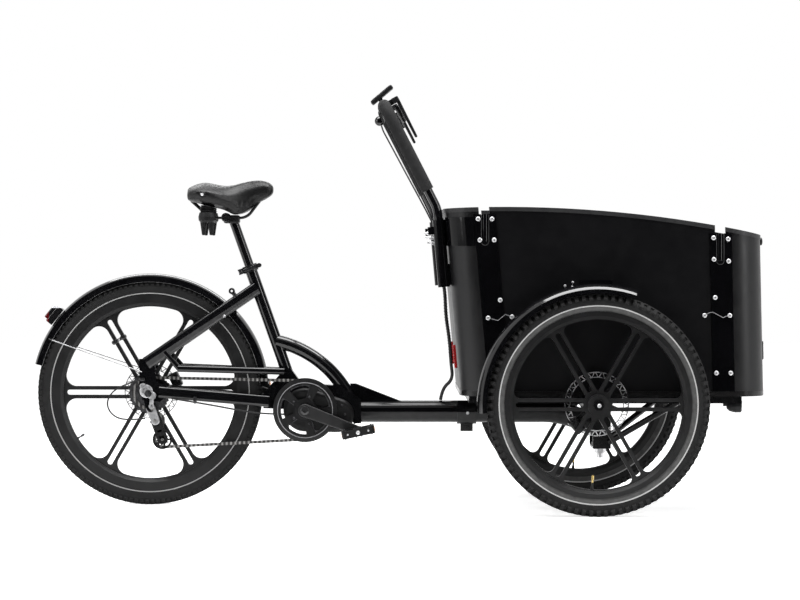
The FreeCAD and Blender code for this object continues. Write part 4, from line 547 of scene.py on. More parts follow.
def addRod(shape, start, end, radius, segments=16, endRadius=None):
    run = end - start
    bmesh.ops.create_cone(shape, cap_ends=True, segments=segments, radius1=radius, depth=run.length,
                          radius2=radius if endRadius is None else endRadius,
                          matrix=shift(*(start + run / 2)) @ turnTo((0, 0, 1), run))


def addBlock(shape, size, matrix, bevel=0.0, segments=2):
    verts = bmesh.ops.create_cube(shape, size=1.0)["verts"]
    bmesh.ops.scale(shape, vec=size, verts=verts)
    bmesh.ops.transform(shape, matrix=matrix, verts=verts)
    if bevel:
        edges = list({edge for vert in verts for edge in vert.link_edges})
        bmesh.ops.bevel(shape, geom=edges, offset=bevel, affect="EDGES", segments=segments, profile=0.5, material=-1)


# Tyres: a rounded casing with a reflective stripe, and moulded tread blocks
frontTyre = {"radius": 0.3105, "width": 0.057, "bead": 0.2535, "stripe": (0.2735, 0.2768), "band": "paleRubber",
             "blocks": 92, "tread": 0.0042}
tyreSettings = {"rear": {"radius": 0.3265, "width": 0.047, "bead": 0.2795, "stripe": (0.2868, 0.2898),
                         "band": "rearTyreRubber", "blocks": 126, "tread": 0.0024},
                "right": frontTyre, "left": frontTyre}
tyreForm = {"flange": 0.0068, "hook": 0.004, "wall": 0.005, "crownWall": 0.007}
# Rows of tread: across the tyre, share of the pitch, share of the width, phase, depth below the crown, lean, height
treadRows = [(0.0, 0.66, 0.22, 0.0, 0.0, 0, 1.6), (0.38, 0.6, 0.19, 0.5, 0.045, 16, 1.6),
             (-0.38, 0.6, 0.19, 0.5, 0.045, -16, 1.6), (0.8, 0.58, 0.36, 0.0, 0.3, 54, 0.75),
             (-0.8, 0.58, 0.36, 0.0, 0.3, -54, 0.75)]


def tyreProfile(radius, width, bead, stripe, tread, flange, hook, wall, crownWall):
    half, seat, crown, lip = width / 2, width * 0.34, radius - tread, bead + flange
    middle, rise = (radius + bead) / 2, crown - lip
    side = [(bead, seat - hook), (bead, seat), (lip, seat)]
    for edge in stripe:
        reach = min((edge - lip) / rise * 2.0, 1.0)
        side.append((edge, seat + (half - seat) * math.sin(reach * math.pi / 2)))
    side += [(middle, half), (middle + rise * 0.16, half * 0.985), (crown - rise * 0.2, half * 0.86),
             (crown - rise * 0.08, half * 0.62), (crown - rise * 0.015, half * 0.32), (crown, 0.0)]
    mirror = [(reach, -along) for reach, along in reversed(side[:-1])]
    inner = [(bead, hook - seat), (middle, wall - half), (crown - crownWall, 0.0), (middle, half - wall)]
    return side + mirror + inner


def treadBlocks(shape, axle, radius, half, count, tread):
    pitch = 2 * math.pi * radius / count
    for across, long, wide, phase, sink, lean, high in treadRows:
        seat = shift(radius - sink * half - tread * high, across * half, 0)
        seat = seat @ Matrix.Rotation(math.radians(lean), 4, "Z")
        for index in range(count):
            verts = bmesh.ops.create_cube(shape, size=1.0)["verts"]
            top = [vert for vert in verts if vert.co.x > 0]
            bmesh.ops.scale(shape, vec=(1, 0.8, 0.78), verts=top)
            bmesh.ops.scale(shape, vec=(tread * 3.2, wide * half * 2, long * pitch), verts=verts)
            block = shift(*axle) @ turnY(360 * (index + phase) / count) @ seat
            bmesh.ops.transform(shape, matrix=block, verts=verts)


def buildTyre(name, radius, width, bead, stripe, band, blocks, tread):
    shape, wheel = bmesh.new(), wheels[name]
    spinRing(shape, tyreProfile(radius, width, bead, stripe, tread, **tyreForm), wheel.axle, 128)
    for face in shape.faces:
        spot = face.calc_center_median() - wheel.axle
        reach = math.hypot(spot.x, spot.z)
        if reach < stripe[1] and abs(spot.y) > width * 0.33:
            face.material_index = 1 if reach > stripe[0] else 2
    treadBlocks(shape, wheel.axle, radius, width / 2, blocks, tread)
    tyre = finishPiece(name + "Tyre", shape, [name + "TyreRubber", "reflectiveStripe", band], wheel.body)
    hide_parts(wheel.tyre)


for name, settings in tyreSettings.items():
    buildTyre(name, **settings)
print("tyres built")

# Brake discs: a braking ring of bars in a zigzag between two hoops, on six slim arms
brakeForm = {"ring": 0.0165, "hoop": 0.0024, "bar": 0.0024, "slant": 28, "thick": 0.002, "hub": 0.026,
             "hubWall": 0.007, "arms": 6, "armWide": 0.0065, "armSkew": 24,
             "bars": {"rear": 48, "right": 52, "left": 52}}


def buildBrakeDisc(name, ring, hoop, bar, slant, thick, hub, hubWall, arms, armWide, armSkew, bars):
    shape, wheel, count = bmesh.new(), wheels[name], bars[name]
    low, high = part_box(wheel.disc)
    outer = (high[0] - low[0]) / 2
    inner, root = outer - ring, hub + hubWall / 2
    centre = Vector((wheel.axle.x, (low[1] + high[1]) / 2, wheel.axle.z))
    for start, end in ((inner, inner + hoop), (outer - hoop, outer), (hub, hub + hubWall)):
        addHoop(shape, start, end, thick / 2, centre, 72)
    for index in range(count):
        lean = slant * (-1) ** index
        place = shift(*centre) @ turnY(360 * index / count) @ shift(outer - ring / 2, 0, 0) @ turnY(lean)
        addBlock(shape, ((ring - hoop) / math.cos(math.radians(lean)), thick, bar), place)
    reach = (inner + hoop / 2 - root) * 1.1
    for index in range(arms):
        place = shift(*centre) @ turnY(360 * index / arms) @ shift(root, 0, 0) @ turnY(armSkew)
        addBlock(shape, (reach, thick, armWide), place @ shift(reach / 2, 0, 0), 0.0005, 1)
    disc = finishPiece(name + "DiscPlate", shape, [name + "Disc"], wheel.body)
    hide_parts(wheel.disc)


for name in wheels:
    buildBrakeDisc(name, **brakeForm)
print("brake discs built")

# Round clamp of the saddle's rails beside the post's head
drumSettings = {"at": (-0.4960, 0.0, 0.8350), "radius": 0.0135, "half": 0.031, "nut": 0.0062, "nutHigh": 0.004}


def buildClampDrum(at, radius, half, nut, nutHigh):
    shape = bmesh.new()
    profile = [(0.0, half + nutHigh), (nut, half + nutHigh), (nut, half), (radius * 0.85, half),
               (radius, half - 0.003), (radius, 0.0035), (radius * 0.94, 0.0025)]
    spinAbout(shape, at, (0, 1, 0), 32, profile + [(reach, -along) for reach, along in reversed(profile)])
    finishPiece("clampDrum", shape, ["anodised"], "seat", 35)


buildClampDrum(**drumSettings)

# Saddle: the cushion is puffed by cloth pressure, then gets its rivets
saddleSettings = {"shrink": 0.003, "skirtDrop": 0.006, "skirtFrom": -0.5, "skirtRun": 0.03, "voxel": 0.005}
puffSettings = {"pressure": 4.0, "stiffness": 25, "frames": 20, "cap": 0.005}
rivetSettings = {"radius": 0.0042, "x": -0.562, "y": 0.16, "z": 0.8917}


def applyModifiers(piece):
    graph = bpy.context.evaluated_depsgraph_get()
    mesh = bpy.data.meshes.new_from_object(piece.evaluated_get(graph))
    piece.modifiers.clear()
    piece.data = mesh


def puffCushion(piece, pressure, stiffness, frames, cap):
    before = [vert.co.copy() for vert in piece.data.vertices]
    cloth = piece.modifiers.new("cloth", "CLOTH")
    cloth.settings.use_pressure = True
    cloth.settings.uniform_pressure_force = pressure
    cloth.settings.effector_weights.gravity = 0.0
    cloth.settings.quality = 6
    cloth.settings.tension_stiffness = stiffness
    cloth.settings.compression_stiffness = stiffness
    cloth.point_cache.frame_start = 1
    cloth.point_cache.frame_end = frames
    for number in range(1, frames + 1):
        scene.frame_set(number)
    applyModifiers(piece)
    scene.frame_set(1)
    for vert, start in zip(piece.data.vertices, before):
        move = vert.co - start
        if move.length > cap:
            vert.co = start + move.normalized() * cap


def buildSaddle(shrink, skirtDrop, skirtFrom, skirtRun, voxel):
    mesh = nodes["saddle_pad"].data.copy()
    mesh.materials.clear()
    shape = bmesh.new()
    shape.from_mesh(mesh)
    bmesh.ops.remove_doubles(shape, verts=shape.verts, dist=1e-5)
    shape.normal_update()
    for vert in shape.verts:
        vert.co -= vert.normal * shrink
        run = (vert.co.x - skirtFrom) / skirtRun
        vert.co.z -= skirtDrop * max(0.0, -vert.normal.z) * min(1.0, max(0.0, run))
    shape.to_mesh(mesh)
    shape.free()
    saddle = addObject("saddleCushion", mesh)
    remesh = saddle.modifiers.new("remesh", "REMESH")
    remesh.mode = "VOXEL"
    remesh.voxel_size = voxel
    smooth = saddle.modifiers.new("smooth", "SMOOTH")
    smooth.factor = 0.5
    smooth.iterations = 10
    applyModifiers(saddle)
    puffCushion(saddle, **puffSettings)
    saddle.data.materials.append(finishes["grainedCover"])
    saddle.data.polygons.foreach_set("use_smooth", [True] * len(saddle.data.polygons))
    finer = saddle.modifiers.new("finer", "SUBSURF")
    finer.levels = 1
    finer.render_levels = 1
    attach(saddle, "seat")
    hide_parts("saddle_pad")
    return saddle


# Rivets pressed into the cover at the sides, seated on the finished cushion
def buildRivets(saddle, radius, x, y, z):
    shape = bmesh.new()
    for side in (-1, 1):
        _, spot, normal, _ = saddle.closest_point_on_mesh((x, side * y, z))
        spinAbout(shape, spot, normal, 18, [(0.0, 0.0018), (0.6, 0.0016), (1.0, 0.0004), (1.0, -0.002),
                                            (0.0, -0.002)], radius)
        known = set(shape.faces)
        spinAbout(shape, spot, normal, 24, [(1.0, -0.001), (1.05, 0.0006), (1.9, 0.0012), (2.4, -0.0012),
                                            (1.0, -0.001)], radius)
        paintNew(shape, known, 1)
    finishPiece("saddleRivets", shape, ["brightSteel", "softRubber"], "seat")


buildRivets(buildSaddle(**saddleSettings), **rivetSettings)
print("saddle built")


# Cords: a smooth curve through a few points gives the tube
def curveMesh(points, radius=0.0, resolution=3, kind="NURBS"):
    curve = bpy.data.curves.new("course", "CURVE")
    curve.dimensions = "3D"
    spline = curve.splines.new(kind)
    spline.points.add(len(points) - 1)
    for place, spot in zip(spline.points, points):
        place.co = (*spot, 1)
    if kind == "NURBS":
        spline.order_u = 3
        spline.use_endpoint_u = True
        spline.resolution_u = 12
    curve.bevel_depth = radius
    curve.bevel_resolution = resolution
    curve.use_fill_caps = radius > 0
    holder = addObject("holder", curve)
    graph = bpy.context.evaluated_depsgraph_get()
    mesh = bpy.data.meshes.new_from_object(holder.evaluated_get(graph))
    bpy.data.objects.remove(holder)
    return mesh


def wrapLine(line, radius, pitch, until):
    # a helix about the first part of the line, ten steps a turn
    step, walked, spots = pitch / 10, 0.0, []
    normal = (line[1] - line[0]).orthogonal().normalized()
    for before, after in zip(line, line[1:]):
        run = after - before
        tangent = run.normalized()
        normal = (normal - tangent * normal.dot(tangent)).normalized()
        binormal, count = tangent.cross(normal), max(1, round(run.length / step))
        for index in range(count):
            along = run.length * index / count
            turn = 2 * math.pi * (walked + along) / pitch
            spots.append(before + tangent * along + (normal * math.cos(turn) + binormal * math.sin(turn)) * radius)
        walked += run.length
        if walked > until:
            break
    return spots


# The wrapped cable from the bar's gland down to the beam, the brake lines down the push bar, the shift cable at the
# rear and the motor cable under the chain stay
brakeHose = {"radius": 0.0024, "bodies": ("handlebar", "front_chassis")}
cordSettings = {
    "wrappedCable": {"points": [(0.13527, -0.060, 0.742), (0.12782, -0.064, 0.690), (0.13994, -0.060, 0.620),
                                (0.14206, -0.057, 0.550), (0.15319, -0.060, 0.480), (0.15688, -0.054, 0.415),
                                (0.16366, -0.038, 0.366), (0.133, -0.011, 0.338), (0.128, -0.006, 0.3044)],
                     "radius": 0.0049, "diameter": 0.012, "bodies": ("front_chassis", "rear_frame"),
                     "bend": ((0.142, -0.057, 0.62), (0.128, -0.006, 0.3044)), "node": "steering_cable",
                     "stiffness": "medium", "lay": "hanging",
                     "wrap": {"radius": 0.0048, "pitch": 0.0085, "until": 0.3}},
    "rightBrakeHose": {"points": [(-0.050, -0.186, 1.144), (-0.042, -0.180, 1.108), (-0.020, -0.164, 1.068),
                                  (0.046, -0.115, 0.942), (0.106, -0.072, 0.825), (0.118, -0.066, 0.790)],
                       **brakeHose},
    "leftBrakeHose": {"points": [(-0.050, 0.186, 1.144), (-0.046, 0.165, 1.108), (-0.025, 0.100, 1.066),
                                 (0.039, -0.010, 0.942), (0.100, -0.050, 0.828), (0.116, -0.055, 0.790)],
                      **brakeHose},
    "shiftCable": {"points": [(-0.738, -0.081, 0.366), (-0.770, -0.085, 0.358), (-0.818, -0.086, 0.336),
                              (-0.838, -0.086, 0.300), (-0.822, -0.085, 0.264), (-0.780, -0.080, 0.248),
                              (-0.727, -0.066, 0.254)], "radius": 0.0021, "bodies": ("rear_frame",)},
    "motorCable": {"points": [(-0.650, -0.074, 0.312), (-0.600, -0.076, 0.304), (-0.530, -0.072, 0.292),
                              (-0.460, -0.062, 0.278), (-0.390, -0.048, 0.266), (-0.324, -0.034, 0.264)],
                   "radius": 0.0024, "bodies": ("rear_frame",)},
}
wrapWire = 0.0012


def buildCord(name, points, radius, bodies, diameter=None, bend=None, node=None, stiffness="stiff", lay="taut",
              wrap=None):
    line = [vert.co.copy() for vert in curveMesh(points).vertices]
    shape = bmesh.new()
    shape.from_mesh(curveMesh(points, radius))
    if wrap:
        shape.from_mesh(curveMesh(wrapLine(line, **wrap), wrapWire, 1, "POLY"))
    cord = finishPiece(name, shape, ["softRubber"], bodies[0] if len(bodies) == 1 else None, 50)
    if len(bodies) == 2:
        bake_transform(cord)
    if node:
        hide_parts(node)


for name, settings in cordSettings.items():
    buildCord(name, **settings)
print("cords built")

# Wheel fittings: valves, and a clip across a rear spoke
frontValve = {"aim": (-0.07, 0.0, -0.9975), "rim": 0.242, "reach": 0.046, "radius": 0.003, "tip": "brass"}
valveSettings = {"rear": {"aim": (-0.844, 0.0, -0.536), "rim": 0.266, "reach": 0.038, "radius": 0.003,
                          "tip": "darkSteel"},
                 "right": frontValve, "left": frontValve}


def buildValve(name, aim, rim, reach, radius, tip):
    shape, aim, root = bmesh.new(), Vector(aim), -0.002 / reach
    foot = wheels[name].axle + aim * rim
    spinAbout(shape, foot, -aim, 14, [(0.0, root), (1.7, root), (1.5, 0.2), (1.0, 0.35), (1.0, 0.55), (0.0, 0.55)],
              radius, reach)
    known = set(shape.faces)
    spinAbout(shape, foot, -aim, 14, [(0.0, 0.55), (0.8, 0.55), (0.8, 0.7), (1.2, 0.72), (1.2, 0.95), (0.8, 1.0),
                                      (0.0, 1.0)], radius, reach)
    paintNew(shape, known, 1)
    finishPiece(name + "Valve", shape, ["softRubber", tip], wheels[name].body)


for name, settings in valveSettings.items():
    buildValve(name, **settings)

clipSettings = {"radius": 0.178, "turn": 120.7, "size": (0.046, 0.026, 0.009), "jaw": (0.015, 0.03, 0.013),
                "jawAt": 0.014, "bolt": 0.0035, "boltHigh": 0.003}


def buildSpokeClip(radius, turn, size, jaw, jawAt, bolt, boltHigh):
    shape = bmesh.new()
    place = shift(*wheels["rear"].axle) @ turnY(-turn) @ shift(radius, 0, 0) @ turnY(90)
    addBlock(shape, size, place, 0.002)
    for side in (-1, 1):
        addBlock(shape, jaw, place @ shift(side * jawAt, 0, 0), 0.0025)
    known = set(shape.faces)
    addBolt(shape, place @ Vector((0, -size[1] / 2, 0)), (0, -1, 0), bolt, boltHigh)
    paintNew(shape, known, 1)
    finishPiece("spokeClip", shape, ["anodised", "brightSteel"], "rear_wheel")


buildSpokeClip(**clipSettings)
print("wheel fittings built")

# Crank set: pale ring on the guard, spider bolts, spindle caps
crankSettings = {"ring": (0.0785, 0.0808), "face": -0.0551, "proud": 0.0008, "bolts": 5, "circle": 0.040,
                 "bolt": 0.0038, "boltHigh": 0.0028, "capFace": 0.0820, "cap": 0.0125}


def buildCrankFittings(ring, face, proud, bolts, circle, bolt, boltHigh, capFace, cap):
    shape, (inner, outer), front = bmesh.new(), ring, face - proud
    spinRing(shape, [(inner, face), (inner, front), (outer, front), (outer, face)], crankAxis, 96)
    finishPiece("guardRing", shape, ["paleTrim"], "crankset")
    turns = [2 * math.pi * index / bolts for index in range(bolts)]
    buildBolts("spiderBolts", "crankset", ["darkSteel"],
               [(crankAxis + Vector((math.cos(turn) * circle, face, math.sin(turn) * circle)), bolt, boltHigh)
                for turn in turns])
    shape = bmesh.new()
    for side in (-1, 1):
        spinAbout(shape, crankAxis + Vector((0, side * capFace, 0)), (0, side, 0), 28,
                  [(0.0, 0.0004), (0.42, 0.0004), (0.42, 0.0022), (0.8, 0.0022), (1.0, 0.0008), (1.0, -0.0016),
                   (0.0, -0.0016)], cap)
    finishPiece("crankCaps", shape, ["anodised"], "crankset")


buildCrankFittings(**crankSettings)

# Pedals: axle cap, side screws, tread pins, reflectors fore and aft
pedalForm = {"inner": 0.0815, "wide": 0.084, "long": 0.095, "thick": 0.022, "tilt": -12, "cap": 0.0058,
             "screw": 0.0028, "screwAt": 0.03, "pin": 0.0017, "pinSpan": (-0.001, 0.0025),
             "pinRows": (-0.036, -0.0005, 0.036), "pinColumns": (-0.038, -0.008, 0.008, 0.038),
             "reflector": (0.0022, 0.052, 0.012)}


def buildPedalFittings(name, side, inner, wide, long, thick, tilt, cap, screw, screwAt, pin, pinSpan, pinRows,
                       pinColumns, reflector):
    axis, body = pivot("pedal_" + name), "pedal_" + name
    outer, middle = side * (inner + wide), side * (inner + wide / 2)
    shape, base = bmesh.new(), shift(axis.x, 0, axis.z) @ turnY(tilt)
    addBolt(shape, base @ Vector((0, outer, 0)), (0, side, 0), cap, 0.0035, 0.55)
    for end in (-1, 1):
        addBolt(shape, base @ Vector((end * screwAt, outer, 0)), (0, side, 0), screw, 0.002)
    known = set(shape.faces)
    for across in pinRows:
        for along in pinColumns:
            for upper in (-1, 1):
                foot, tip = (base @ Vector((along, middle + across, upper * (thick / 2 + off))) for off in pinSpan)
                addRod(shape, foot, tip, pin, 8)
    paintNew(shape, known, 1)
    known = set(shape.faces)
    for end in (-1, 1):
        addBlock(shape, reflector, base @ shift(end * long / 2, middle, 0), 0.0007)
    paintNew(shape, known, 2)
    finishPiece(name + "PedalFittings", shape, ["brightSteel", "darkSteel", "amberReflector"], body)


for name, side in (("right", -1), ("left", 1)):
    buildPedalFittings(name, side, **pedalForm)
print("crank and pedal fittings built")

# Polished crown of the front mudguards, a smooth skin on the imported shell
crownSettings = {"tube": 0.0464, "tubeAt": 0.2897, "halfAngle": 47.0, "across": 14, "start": 71.0, "end": 184.0,
                 "steps": 72, "thick": 0.0004}


def buildCrowns(tube, tubeAt, halfAngle, across, start, end, steps, thick):
    shape = bmesh.new()
    leans = [math.radians(halfAngle * (2 * index / across - 1)) for index in range(across + 1)]
    rim = [(tube, lean) for lean in leans] + [(tube - thick, lean) for lean in reversed(leans)]
    turn = Matrix.Rotation(-math.radians(start), 3, "Y")
    for axle in (wheels["right"].axle, wheels["left"].axle):
        verts = [shape.verts.new(axle + turn @ Vector((tubeAt + reach * math.cos(lean), reach * math.sin(lean), 0)))
                 for reach, lean in rim]
        edges = [shape.edges.new((verts[index - 1], vert)) for index, vert in enumerate(verts)]
        bmesh.ops.spin(shape, geom=verts + edges, cent=axle, axis=(0, -1, 0), steps=steps,
                       angle=math.radians(end - start), use_duplicate=False)
    finishPiece("guardCrowns", shape, ["guardGloss"], "front_chassis", 50)


buildCrowns(**crownSettings)

# Box: bolt recesses, edges of the pole channels, wire latches, front knobs and reflectors, mudguard bolts
boxSettings = {"half": 0.315, "floor": 0.345, "mark": 0.820, "lean": {"tail": 5.0, "nose": 1.2},
               "socket": {"tail": 0.246, "nose": 0.904}, "strap": 0.003, "strapHalf": 0.031, "noseX": 1.036}
box = SimpleNamespace(**boxSettings)
boltRows = {"tail": [(-0.019, 0.827), (0.020, 0.827), (-0.019, 0.768), (0.021, 0.768), (0.023, 0.600),
                     (-0.015, 0.550), (0.052, 0.553), (-0.020, 0.396), (0.020, 0.396)],
            "nose": [(-0.020, 0.774), (0.021, 0.771), (-0.020, 0.714), (0.021, 0.709), (-0.019, 0.607),
                     (-0.049, 0.557), (0.021, 0.557), (-0.020, 0.396), (0.020, 0.396)]}
boxSides = [(end, side) for end in ("tail", "nose") for side in (-1, 1)]


def leanOf(end):
    return math.tan(math.radians(box.lean[end]))


def cornerAt(end, height):
    return box.socket[end] + (box.mark - height) * leanOf(end)


def noseAt(height):
    return box.noseX - (height - box.floor) * leanOf("nose")


recessSettings = {"head": 0.0038, "wide": 0.0016}


def buildBoltRecesses(head, wide):
    shape = bmesh.new()
    for end, rows in boltRows.items():
        for off, height in rows:
            seat = box.half + head + (box.strap if abs(off) < box.strapHalf else 0.0)
            for side in (-1, 1):
                spinAbout(shape, (cornerAt(end, height) + off, side * seat, height), (0, side, 0), 6,
                          [(0.0, 0.0004), (1.0, 0.0004), (1.15, 0.0), (0.0, -0.0004)], wide)
    finishPiece("boltRecesses", shape, ["darkSteel"], "front_chassis")


channelSettings = {"half": 0.0105, "tail": (0.838, 0.764), "nose": (0.784, 0.710), "proud": 0.0003}
latchSettings = {"proud": 0.0016,
                 "tail": [(-0.015, 0.550), (0.0, 0.546), (0.012, 0.543), (0.034, 0.560), (0.052, 0.553)],
                 "nose": [(-0.049, 0.557), (-0.036, 0.565), (-0.026, 0.566), (0.002, 0.551), (0.010, 0.555),
                          (0.021, 0.557)]}
boxWire = 0.0009


def channelPoints(end, settings):
    x, half, (top, low) = box.socket[end], settings["half"], settings[end]
    turns = [math.radians(turn) for turn in range(0, 181, 20)]
    bow = [(x - half * math.cos(turn), low - half * math.sin(turn)) for turn in turns]
    return [(x - half, top)] + bow + [(x + half, top)]


def latchPoints(end, settings):
    return [(cornerAt(end, height) + off, height) for off, height in settings[end]]


def buildWires(name, pointsOf, settings, finish, smoothAngle):
    shape = bmesh.new()
    for end, side in boxSides:
        y = side * (box.half + box.strap + settings["proud"])
        shape.from_mesh(curveMesh([(x, y, z) for x, z in pointsOf(end, settings)], boxWire, 2, "POLY"))
    finishPiece(name, shape, [finish], "front_chassis", smoothAngle)


frontSettings = {"across": 0.2, "knobHigh": 0.7645, "knob": 0.011, "stripHigh": 0.456, "strip": (0.006, 0.03, 0.052),
                 "plate": (0.0012, 0.024, 0.046), "sink": 0.0004}


def buildFrontFittings(across, knobHigh, knob, stripHigh, strip, plate, sink):
    knobs, strips, half = bmesh.new(), bmesh.new(), strip[0] / 2
    for y in (-across, across):
        spinAbout(knobs, (noseAt(knobHigh), y, knobHigh), (1, 0, 0), 24,
                  [(0.0, 0.0105), (0.7, 0.0102), (1.0, 0.0085), (1.0, 0.005), (0.6, 0.0035), (0.55, -0.001),
                   (0.0, -0.001)], knob)
        spot = shift(noseAt(stripHigh) + half - sink, y, stripHigh) @ turnY(-box.lean["nose"])
        addBlock(strips, strip, spot, 0.0018)
        known = set(strips.faces)
        addBlock(strips, plate, spot @ shift(half, 0, 0), 0.0004)
        paintNew(strips, known, 1)
    finishPiece("frontKnobs", knobs, ["blackPlastic"], "front_chassis", 35)
    finishPiece("frontReflectors", strips, ["blackPlastic", "whiteReflector"], "front_chassis", 35)


# Rows of bolts: a spot, a radius, a height
guardBolts = [((x, side * box.half, z), 0.0036, 0.003) for x, z in ((0.470, 0.640), (0.4915, 0.650), (0.4905, 0.637))
              for side in (-1, 1)]

buildBoltRecesses(**recessSettings)
buildWires("channelEdges", channelPoints, channelSettings, "trimGrey", 40)
buildWires("wireLatches", latchPoints, latchSettings, "paleTrim", 50)
buildFrontFittings(**frontSettings)
buildBolts("guardBolts", "front_chassis", ["brightSteel"], guardBolts)
print("box fittings built")

# Head lamp glass in a bright bezel
headSettings = {"at": (1.0039, 0, 0.286), "radius": 0.0165}


def buildHeadGlass(at, radius):
    shape = bmesh.new()
    spinAbout(shape, at, (1, 0, 0), 32, [(0.0, 0.0022), (0.5, 0.0019), (0.86, 0.0008), (0.86, -0.0004),
                                         (0.0, -0.0004)], radius)
    known = set(shape.faces)
    spinAbout(shape, at, (1, 0, 0), 32, [(0.86, -0.0004), (0.88, 0.002), (0.96, 0.0024), (1.0, 0.0016),
                                         (1.0, -0.0004)], radius)
    paintNew(shape, known, 1)
    finishPiece("headGlass", shape, ["flutedLens", "brightSteel"], "front_chassis")


buildHeadGlass(**headSettings)

# Push bar: adjusters above the gland, bell, lever reservoirs, display glass
adjusterSettings = {"foot": Vector((0.1345, -0.061, 0.7435)), "head": Vector((0.1175, -0.0605, 0.790)),
                    "radius": 0.0075, "barrel": 0.0052, "reach": 0.042, "heights": (0.757, 0.772, 0.785),
                    "fan": 0.25, "rise": 0.12}


def buildAdjusters(foot, head, radius, barrel, reach, heights, fan, rise):
    shape = bmesh.new()
    addRod(shape, foot - (head - foot) * 0.06, head, radius, 18, radius * 0.8)
    for index, height in enumerate(heights):
        start = foot.lerp(head, (height - foot.z) / (head.z - foot.z))
        spinAbout(shape, start, (-1, fan * (index - 1), rise), 12,
                  [(0.0, 0.0), (0.8, 0.0), (0.8, 0.45), (1.0, 0.48), (1.0, 0.75), (0.6, 0.8), (0.6, 1.0), (0.0, 1.0)],
                  barrel, reach)
    finishPiece("cableAdjusters", shape, ["brightSteel"], "front_chassis")


bellSettings = {"bar": Vector((-0.036, -0.1, 1.150)), "bell": Vector((-0.0490, -0.1, 1.1115)), "radius": 0.0145,
                "bore": 0.0162, "ring": 0.0185, "half": 0.006, "stem": 0.0035}


def buildBell(bar, bell, radius, bore, ring, half, stem):
    shape, aim = bmesh.new(), (bell - bar).normalized()
    spinAbout(shape, bar, (0, 1, 0), 28, [(bore, -half), (ring, -half), (ring, half), (bore, half), (bore, -half)])
    addRod(shape, bar + aim * (ring - 0.001), bell - aim * radius * 0.4, stem, 12)
    turns = [math.radians(turn) for turn in range(0, 91, 15)]
    dome = [(radius * math.cos(turn), radius * 0.75 * math.sin(turn)) for turn in turns]
    spinAbout(shape, bell, (0, -1, 0), 28, [(0.0, -0.004), (radius * 0.96, -0.004), (radius, -0.002)] + dome)
    finishPiece("bell", shape, ["guardGloss"], "handlebar")


reservoirSettings = {"top": (0.0010, 0.1935, 1.1480), "foot": (0.0220, 0.1935, 1.1040), "radius": 0.0088}


def buildReservoirs(top, foot, radius):
    shape = bmesh.new()
    for side in (-1, 1):
        start, end = (Vector((x, side * y, z)) for x, y, z in (top, foot))
        long = (end - start).length
        spinAbout(shape, start, end - start, 24,
                  [(0.0, -0.004), (0.75, -0.003), (1.0, 0.002), (1.0, long * 0.6), (0.8, long * 0.72),
                   (0.8, long * 0.9), (0.55, long), (0.0, long)], radius)
    finishPiece("leverReservoirs", shape, ["anodised"], "handlebar")


screenSettings = {"bar": (-0.036, 0.0, 1.150), "tilt": -40, "size": (0.066, 0.046, 0.0012), "at": (0.022, 0, 0.0433)}


def buildScreen(bar, tilt, size, at):
    shape = bmesh.new()
    addBlock(shape, size, shift(*bar) @ turnY(tilt) @ shift(*at), 0.0004)
    finishPiece("displayGlass", shape, ["displayGlass"], "handlebar")


buildAdjusters(**adjusterSettings)
buildBell(**bellSettings)
buildReservoirs(**reservoirSettings)
buildScreen(**screenSettings)
print("push bar fittings built")

# Rear frame: bolts of the seat stay, the beam's clip and the motor, of the derailleur, and the front axle's ends
frameBolts = [((-0.499, -0.0492, 0.549), 0.0042, 0.00336, 0), ((0.206, -0.0372, 0.268), 0.0044, 0.00352, 0),
              ((-0.1585, -0.0378, 0.290), 0.0034, 0.00272, 1), ((-0.178, -0.0378, 0.296), 0.0034, 0.00272, 1),
              ((-0.150, -0.0378, 0.264), 0.0034, 0.00272, 1)]
derailleurBolts = [((-0.705, -0.0729, 0.283), 0.006, 0.0033), ((-0.698, -0.0729, 0.248), 0.005, 0.00275),
                   ((-0.697, -0.0529, 0.2465), 0.0045, 0.002475), ((-0.678, -0.0529, 0.1925), 0.0045, 0.002475)]
axleEnds = [((wheels["right"].axle.x, y, wheels["right"].axle.z), 0.0058, 0.004) for y in (-0.4268, 0.4268)]

# Bare alloy mount of the derailleur about the axle, on the dropout's outer face: discs are x, z, radius and height
mountSettings = {"face": -0.0747, "discs": [(-0.723, 0.333, 0.019, 0.0045), (-0.706, 0.320, 0.012, 0.0065),
                                            (-0.733, 0.348, 0.009, 0.0055), (-0.708, 0.289, 0.008, 0.005)],
                 "links": [((-0.706, 0.320), (-0.708, 0.289)), ((-0.723, 0.333), (-0.706, 0.320))],
                 "linkAt": 0.0015, "linkThick": 0.004, "linkWide": 0.012}


def linkBlock(shape, start, end, thick, wide, bevel=0.0):
    run = end - start
    addBlock(shape, (run.length, thick, wide), shift(*start.lerp(end, 0.5)) @ turnTo((1, 0, 0), run), bevel)


def buildMount(face, discs, links, linkAt, linkThick, linkWide):
    shape = bmesh.new()
    for x, z, radius, height in discs:
        foot = -0.0006 / height
        spinAbout(shape, (x, face, z), (0, -1, 0), 24, [(0.0, 0.7), (0.45, 0.7), (0.5, 1.0), (0.88, 1.0), (1.0, 0.7),
                                                        (1.0, foot), (0.0, foot)], radius, height)
    for link in links:
        linkBlock(shape, *(Vector((x, face - linkAt, z)) for x, z in link), linkThick, linkWide, 0.0008)
    finishPiece("derailleurMount", shape, ["rawAlloy"], "rear_frame")


# Outer guard of the derailleur's cage: a spider about the lower pulley, linked to a boss at the upper one
cageSettings = {"face": -0.0532, "lower": (-0.678, 0.1925), "upper": (-0.697, 0.2465), "outer": 0.0285,
                "wall": 0.006, "hub": 0.0095, "bore": 0.003, "boss": 0.0155, "thick": 0.0018, "arms": 5,
                "armWide": 0.0055, "lap": 0.002, "link": 0.013}


